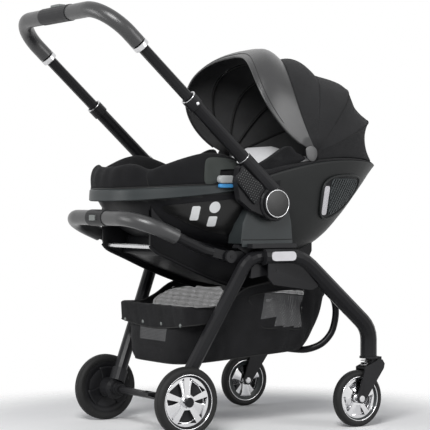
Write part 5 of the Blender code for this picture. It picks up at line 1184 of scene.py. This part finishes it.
for side_name, side in SIDES.items():
    y, out = side * TUBE_Y, (0, side, 0)
    ring = [(0.0150, -0.0068), (0.0194, -0.0062), (0.0197, -0.0050), (0.0197, 0.0050),
            (0.0194, 0.0062), (0.0150, 0.0068), (0.0150, -0.0068)]
    for name, profile, distance, body_name in (
            ("silver_ring_", ring, 0.530, "handle_top"),
            ("collar_line_", band_section(0.0165, 0.0198, 0.0008), 0.3525, "handle"),
            ("socket_line_", band_section(0.0165, 0.0191, 0.0007), 0.1412, "handle")):
        put(name + side_name, lathe(profile, on_handle(distance, y), ALONG, 48), body_name, STEEL)
    detent = [(0.0044, -0.003), (0.0046, 0.0), (0.0036, 0.0012), (0.0012, 0.0017)]
    put("detent_button_" + side_name, lathe(detent, on_handle(0.331, side * 0.2570), out, 24),
        "handle", STEEL)
    hub = (HUB[0], side * 0.258, HUB[1])
    put("hub_silver_ring_" + side_name,
        lathe(ring_section(0.0333, 0.0002, 0.0010, tall=0.0009), hub, out, 72),
        "hub_button_" + side_name, STEEL)
    face = [(0.0325, -0.002), (0.0325, 0.0002), (0.028, 0.0006), (0.0, 0.0009)]
    put("hub_face_" + side_name, lathe(face, hub, out, 72), "hub_button_" + side_name, GLOSS)
    # the dotted panel on the arm
    flat = around([(0.130, 0.001), (0.130, -0.016), (0.1275, -0.034), (0.084, -0.040),
                   (0.043, -0.041), (0.048, -0.018), (0.055, 0.005), (0.092, 0.004)], 60)
    layers = ((1.0, 0.2480), (1.0, 0.2512), (0.96, 0.2516), (0.5, 0.2517))
    put("arm_panel_" + side_name,
        layered(flat, (0.088, -0.018), layers, lambda d, a, y: tuple(on_handle(d, side * y, a))),
        "handle", PLASTIC)
    dots = [(d, a) for k, d in enumerate(np.arange(0.050, 0.134, 0.0062))
            for a in np.arange(-0.040 + 0.0031 * (k % 2), 0.004, 0.0062)
            if inside(0.088 + (d - 0.088) * 1.08, -0.018 + (a + 0.018) * 1.08, flat)]
    pts, faces = [], []
    for d, a in dots:
        first = len(pts)
        for r, out in ((0.0011, 0.2515), (0.0006, 0.2521)):
            for k in range(6):
                t = k * math.pi / 3
                pts.append(tuple(on_handle(d + r * math.cos(t), side * out, a + r * math.sin(t))))
        faces += [(first + k, first + (k + 1) % 6, first + 6 + (k + 1) % 6, first + 6 + k) for k in range(6)]
        faces.append(tuple(range(first + 6, first + 12)))
    studs = bpy.data.meshes.new("studs")
    studs.from_pydata(pts, [], faces)
    put("arm_studs_" + side_name, studs, "handle", GREY)


# the handle's grip, from the right ring over the cross bar to the left one, and the grab bar's
line = bent([on_handle(0.540, -TUBE_Y), on_handle(HANDLE_LENGTH, -TUBE_Y),
             on_handle(HANDLE_LENGTH, TUBE_Y), on_handle(0.540, TUBE_Y)], 0.090, 22)
made = put("leather_grip_handle", sweep(line, GRIP_RADIUS, 32), "handle_top", LEATHER,
           60)
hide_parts("handle_grip")
knee, foot = Vector((0.055, -BAR_Y, 0.452)), Vector((-0.126, -BAR_Y, 0.529))
start = knee.lerp(foot, (knee.x + 0.022) / (knee.x - foot.x))
over = [start, foot, Vector((foot.x, BAR_Y, foot.z)), Vector((start.x, BAR_Y, start.z))]
made = put("leather_grip_bar", sweep(bent(over, 0.085, 22), GRIP_RADIUS, 32), "grab_bar", LEATHER,
           60)
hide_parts("grab_grip")

# stitches along the inside of the handle's grip, on its far part
inner = on_handle(0.46, 0)
fine = smooth_line([p + (inner - p).normalized() * GRIP_RADIUS for p in line], 240)
for number in range(0, len(fine) - 3, 4):
    if fine[number][1] >= 0.100:
        put(f"grip_stitch_{number}", sweep(fine[number:number + 3], 0.0007, 5), "handle_top", PALE_PAD)

# the release module's pale button
low, high, centre = node_box("handle_release")
rows = []
for lift, share in ((0.000, 1.0), (0.0022, 0.98), (0.0028, 0.85), (0.0031, 0.4)):
    row = []
    for a in full_turn(40):
        wide = math.copysign(abs(math.sin(a)) ** 0.5, math.sin(a))
        row.append((centre[0] + math.cos(a) * (high[0] - low[0]) * 0.47 * share,
                    centre[1] + wide * (high[1] - low[1]) * 0.47 * share,
                    centre[2] + (high[2] - low[2]) / 2 - 0.002 + lift))
    rows.append(row)
put("release_cap", net(rows, loop=True, ends=True), "handle_release", STEEL)


# ---------------------------------------------------------------- room, light and camera

def area_light(name, place, target, size, power):
    """A rectangular lamp that faces a point."""
    lamp = bpy.data.lights.new(name, "AREA")
    lamp.shape = "RECTANGLE"
    lamp.size, lamp.size_y = size
    lamp.energy = power
    obj = bpy.data.objects.new(name, lamp)
    bpy.context.scene.collection.objects.link(obj)
    obj.location = place
    obj.rotation_euler = (Vector(target) - Vector(place)).to_track_quat("-Z", "Y").to_euler()
    return obj


floor_mesh = bpy.data.meshes.new("floor")
ring = [(math.cos(a) * 6, math.sin(a) * 6, -0.0005) for a in full_turn(64)]
floor_mesh.from_pydata(ring, [], [tuple(range(64))])
floor = bpy.data.objects.new("studio_floor", floor_mesh)
bpy.context.scene.collection.objects.link(floor)
ground = bpy.data.materials.new("studio_floor_paint")
ground.use_nodes = True
tree = ground.node_tree
paint = tree.nodes["Principled BSDF"]
for name, value in (("Base Color", (0.94, 0.94, 0.94, 1)), ("Roughness", 0.9),
                    ("Specular IOR Level", 0.1)):
    paint.inputs[name].default_value = value
far = node(tree, "ShaderNodeVectorMath", operation="LENGTH")
tree.links.new(tree.nodes.new("ShaderNodeTexCoord").outputs["Object"], far.inputs[0])
fade = node(tree, "ShaderNodeMapRange", interpolation_type="SMOOTHSTEP",
            **{"From Min": 0.52, "From Max": 0.95})
tree.links.new(far.outputs["Value"], fade.inputs["Value"])
mix_to("Material Output", tree, fade.outputs["Result"], paint,
       tree.nodes.new("ShaderNodeBsdfTransparent"))
floor_mesh.materials.append(ground)

world = bpy.data.worlds.new("studio")
bpy.context.scene.world = world
world.use_nodes = True
tree = world.node_tree
lit = tree.nodes["Background"]
lit.inputs["Color"].default_value = (0.93, 0.95, 1.0, 1)
lit.inputs["Strength"].default_value = 0.26
white = node(tree, "ShaderNodeBackground", Color=(1, 1, 1, 1), Strength=1.0)
rays = tree.nodes.new("ShaderNodeLightPath").outputs
shown = rays["Is Camera Ray"]
for ray in ("Is Transmission Ray", "Is Glossy Ray"):
    either = node(tree, "ShaderNodeMath", operation="MAXIMUM")
    tree.links.new(shown, either.inputs[0])
    tree.links.new(rays[ray], either.inputs[1])
    shown = either.outputs[0]
mix_to("World Output", tree, shown, lit, white)

area_light("key", (-2.2, -2.4, 2.6), (0, 0, 0.6), (1.4, 1.4), 120)
area_light("front", (1.6, -3.2, 1.4), (0, 0, 0.5), (1.2, 1.8), 34)
area_light("low_fill", (-2.6, 0.6, 0.7), (0, 0, 0.5), (1.0, 1.4), 20)

camera_data = bpy.data.cameras.new("camera")
camera_data.sensor_width = 36.0
camera_data.lens = 147.79
camera_data.clip_start, camera_data.clip_end = 0.1, 60.0
camera = bpy.data.objects.new("camera", camera_data)
bpy.context.scene.collection.objects.link(camera)
camera.location = (-2.4135, -3.8497, 0.5851)
heading, dip = math.radians(32.13287), math.radians(0.648)
look = Vector((math.sin(heading) * math.cos(dip), math.cos(heading) * math.cos(dip), -math.sin(dip)))
camera.rotation_mode = "QUATERNION"
camera.rotation_quaternion = look.to_track_quat("-Z", "Y")
bpy.context.scene.camera = camera
bpy.context.scene.view_settings.view_transform = "Standard"
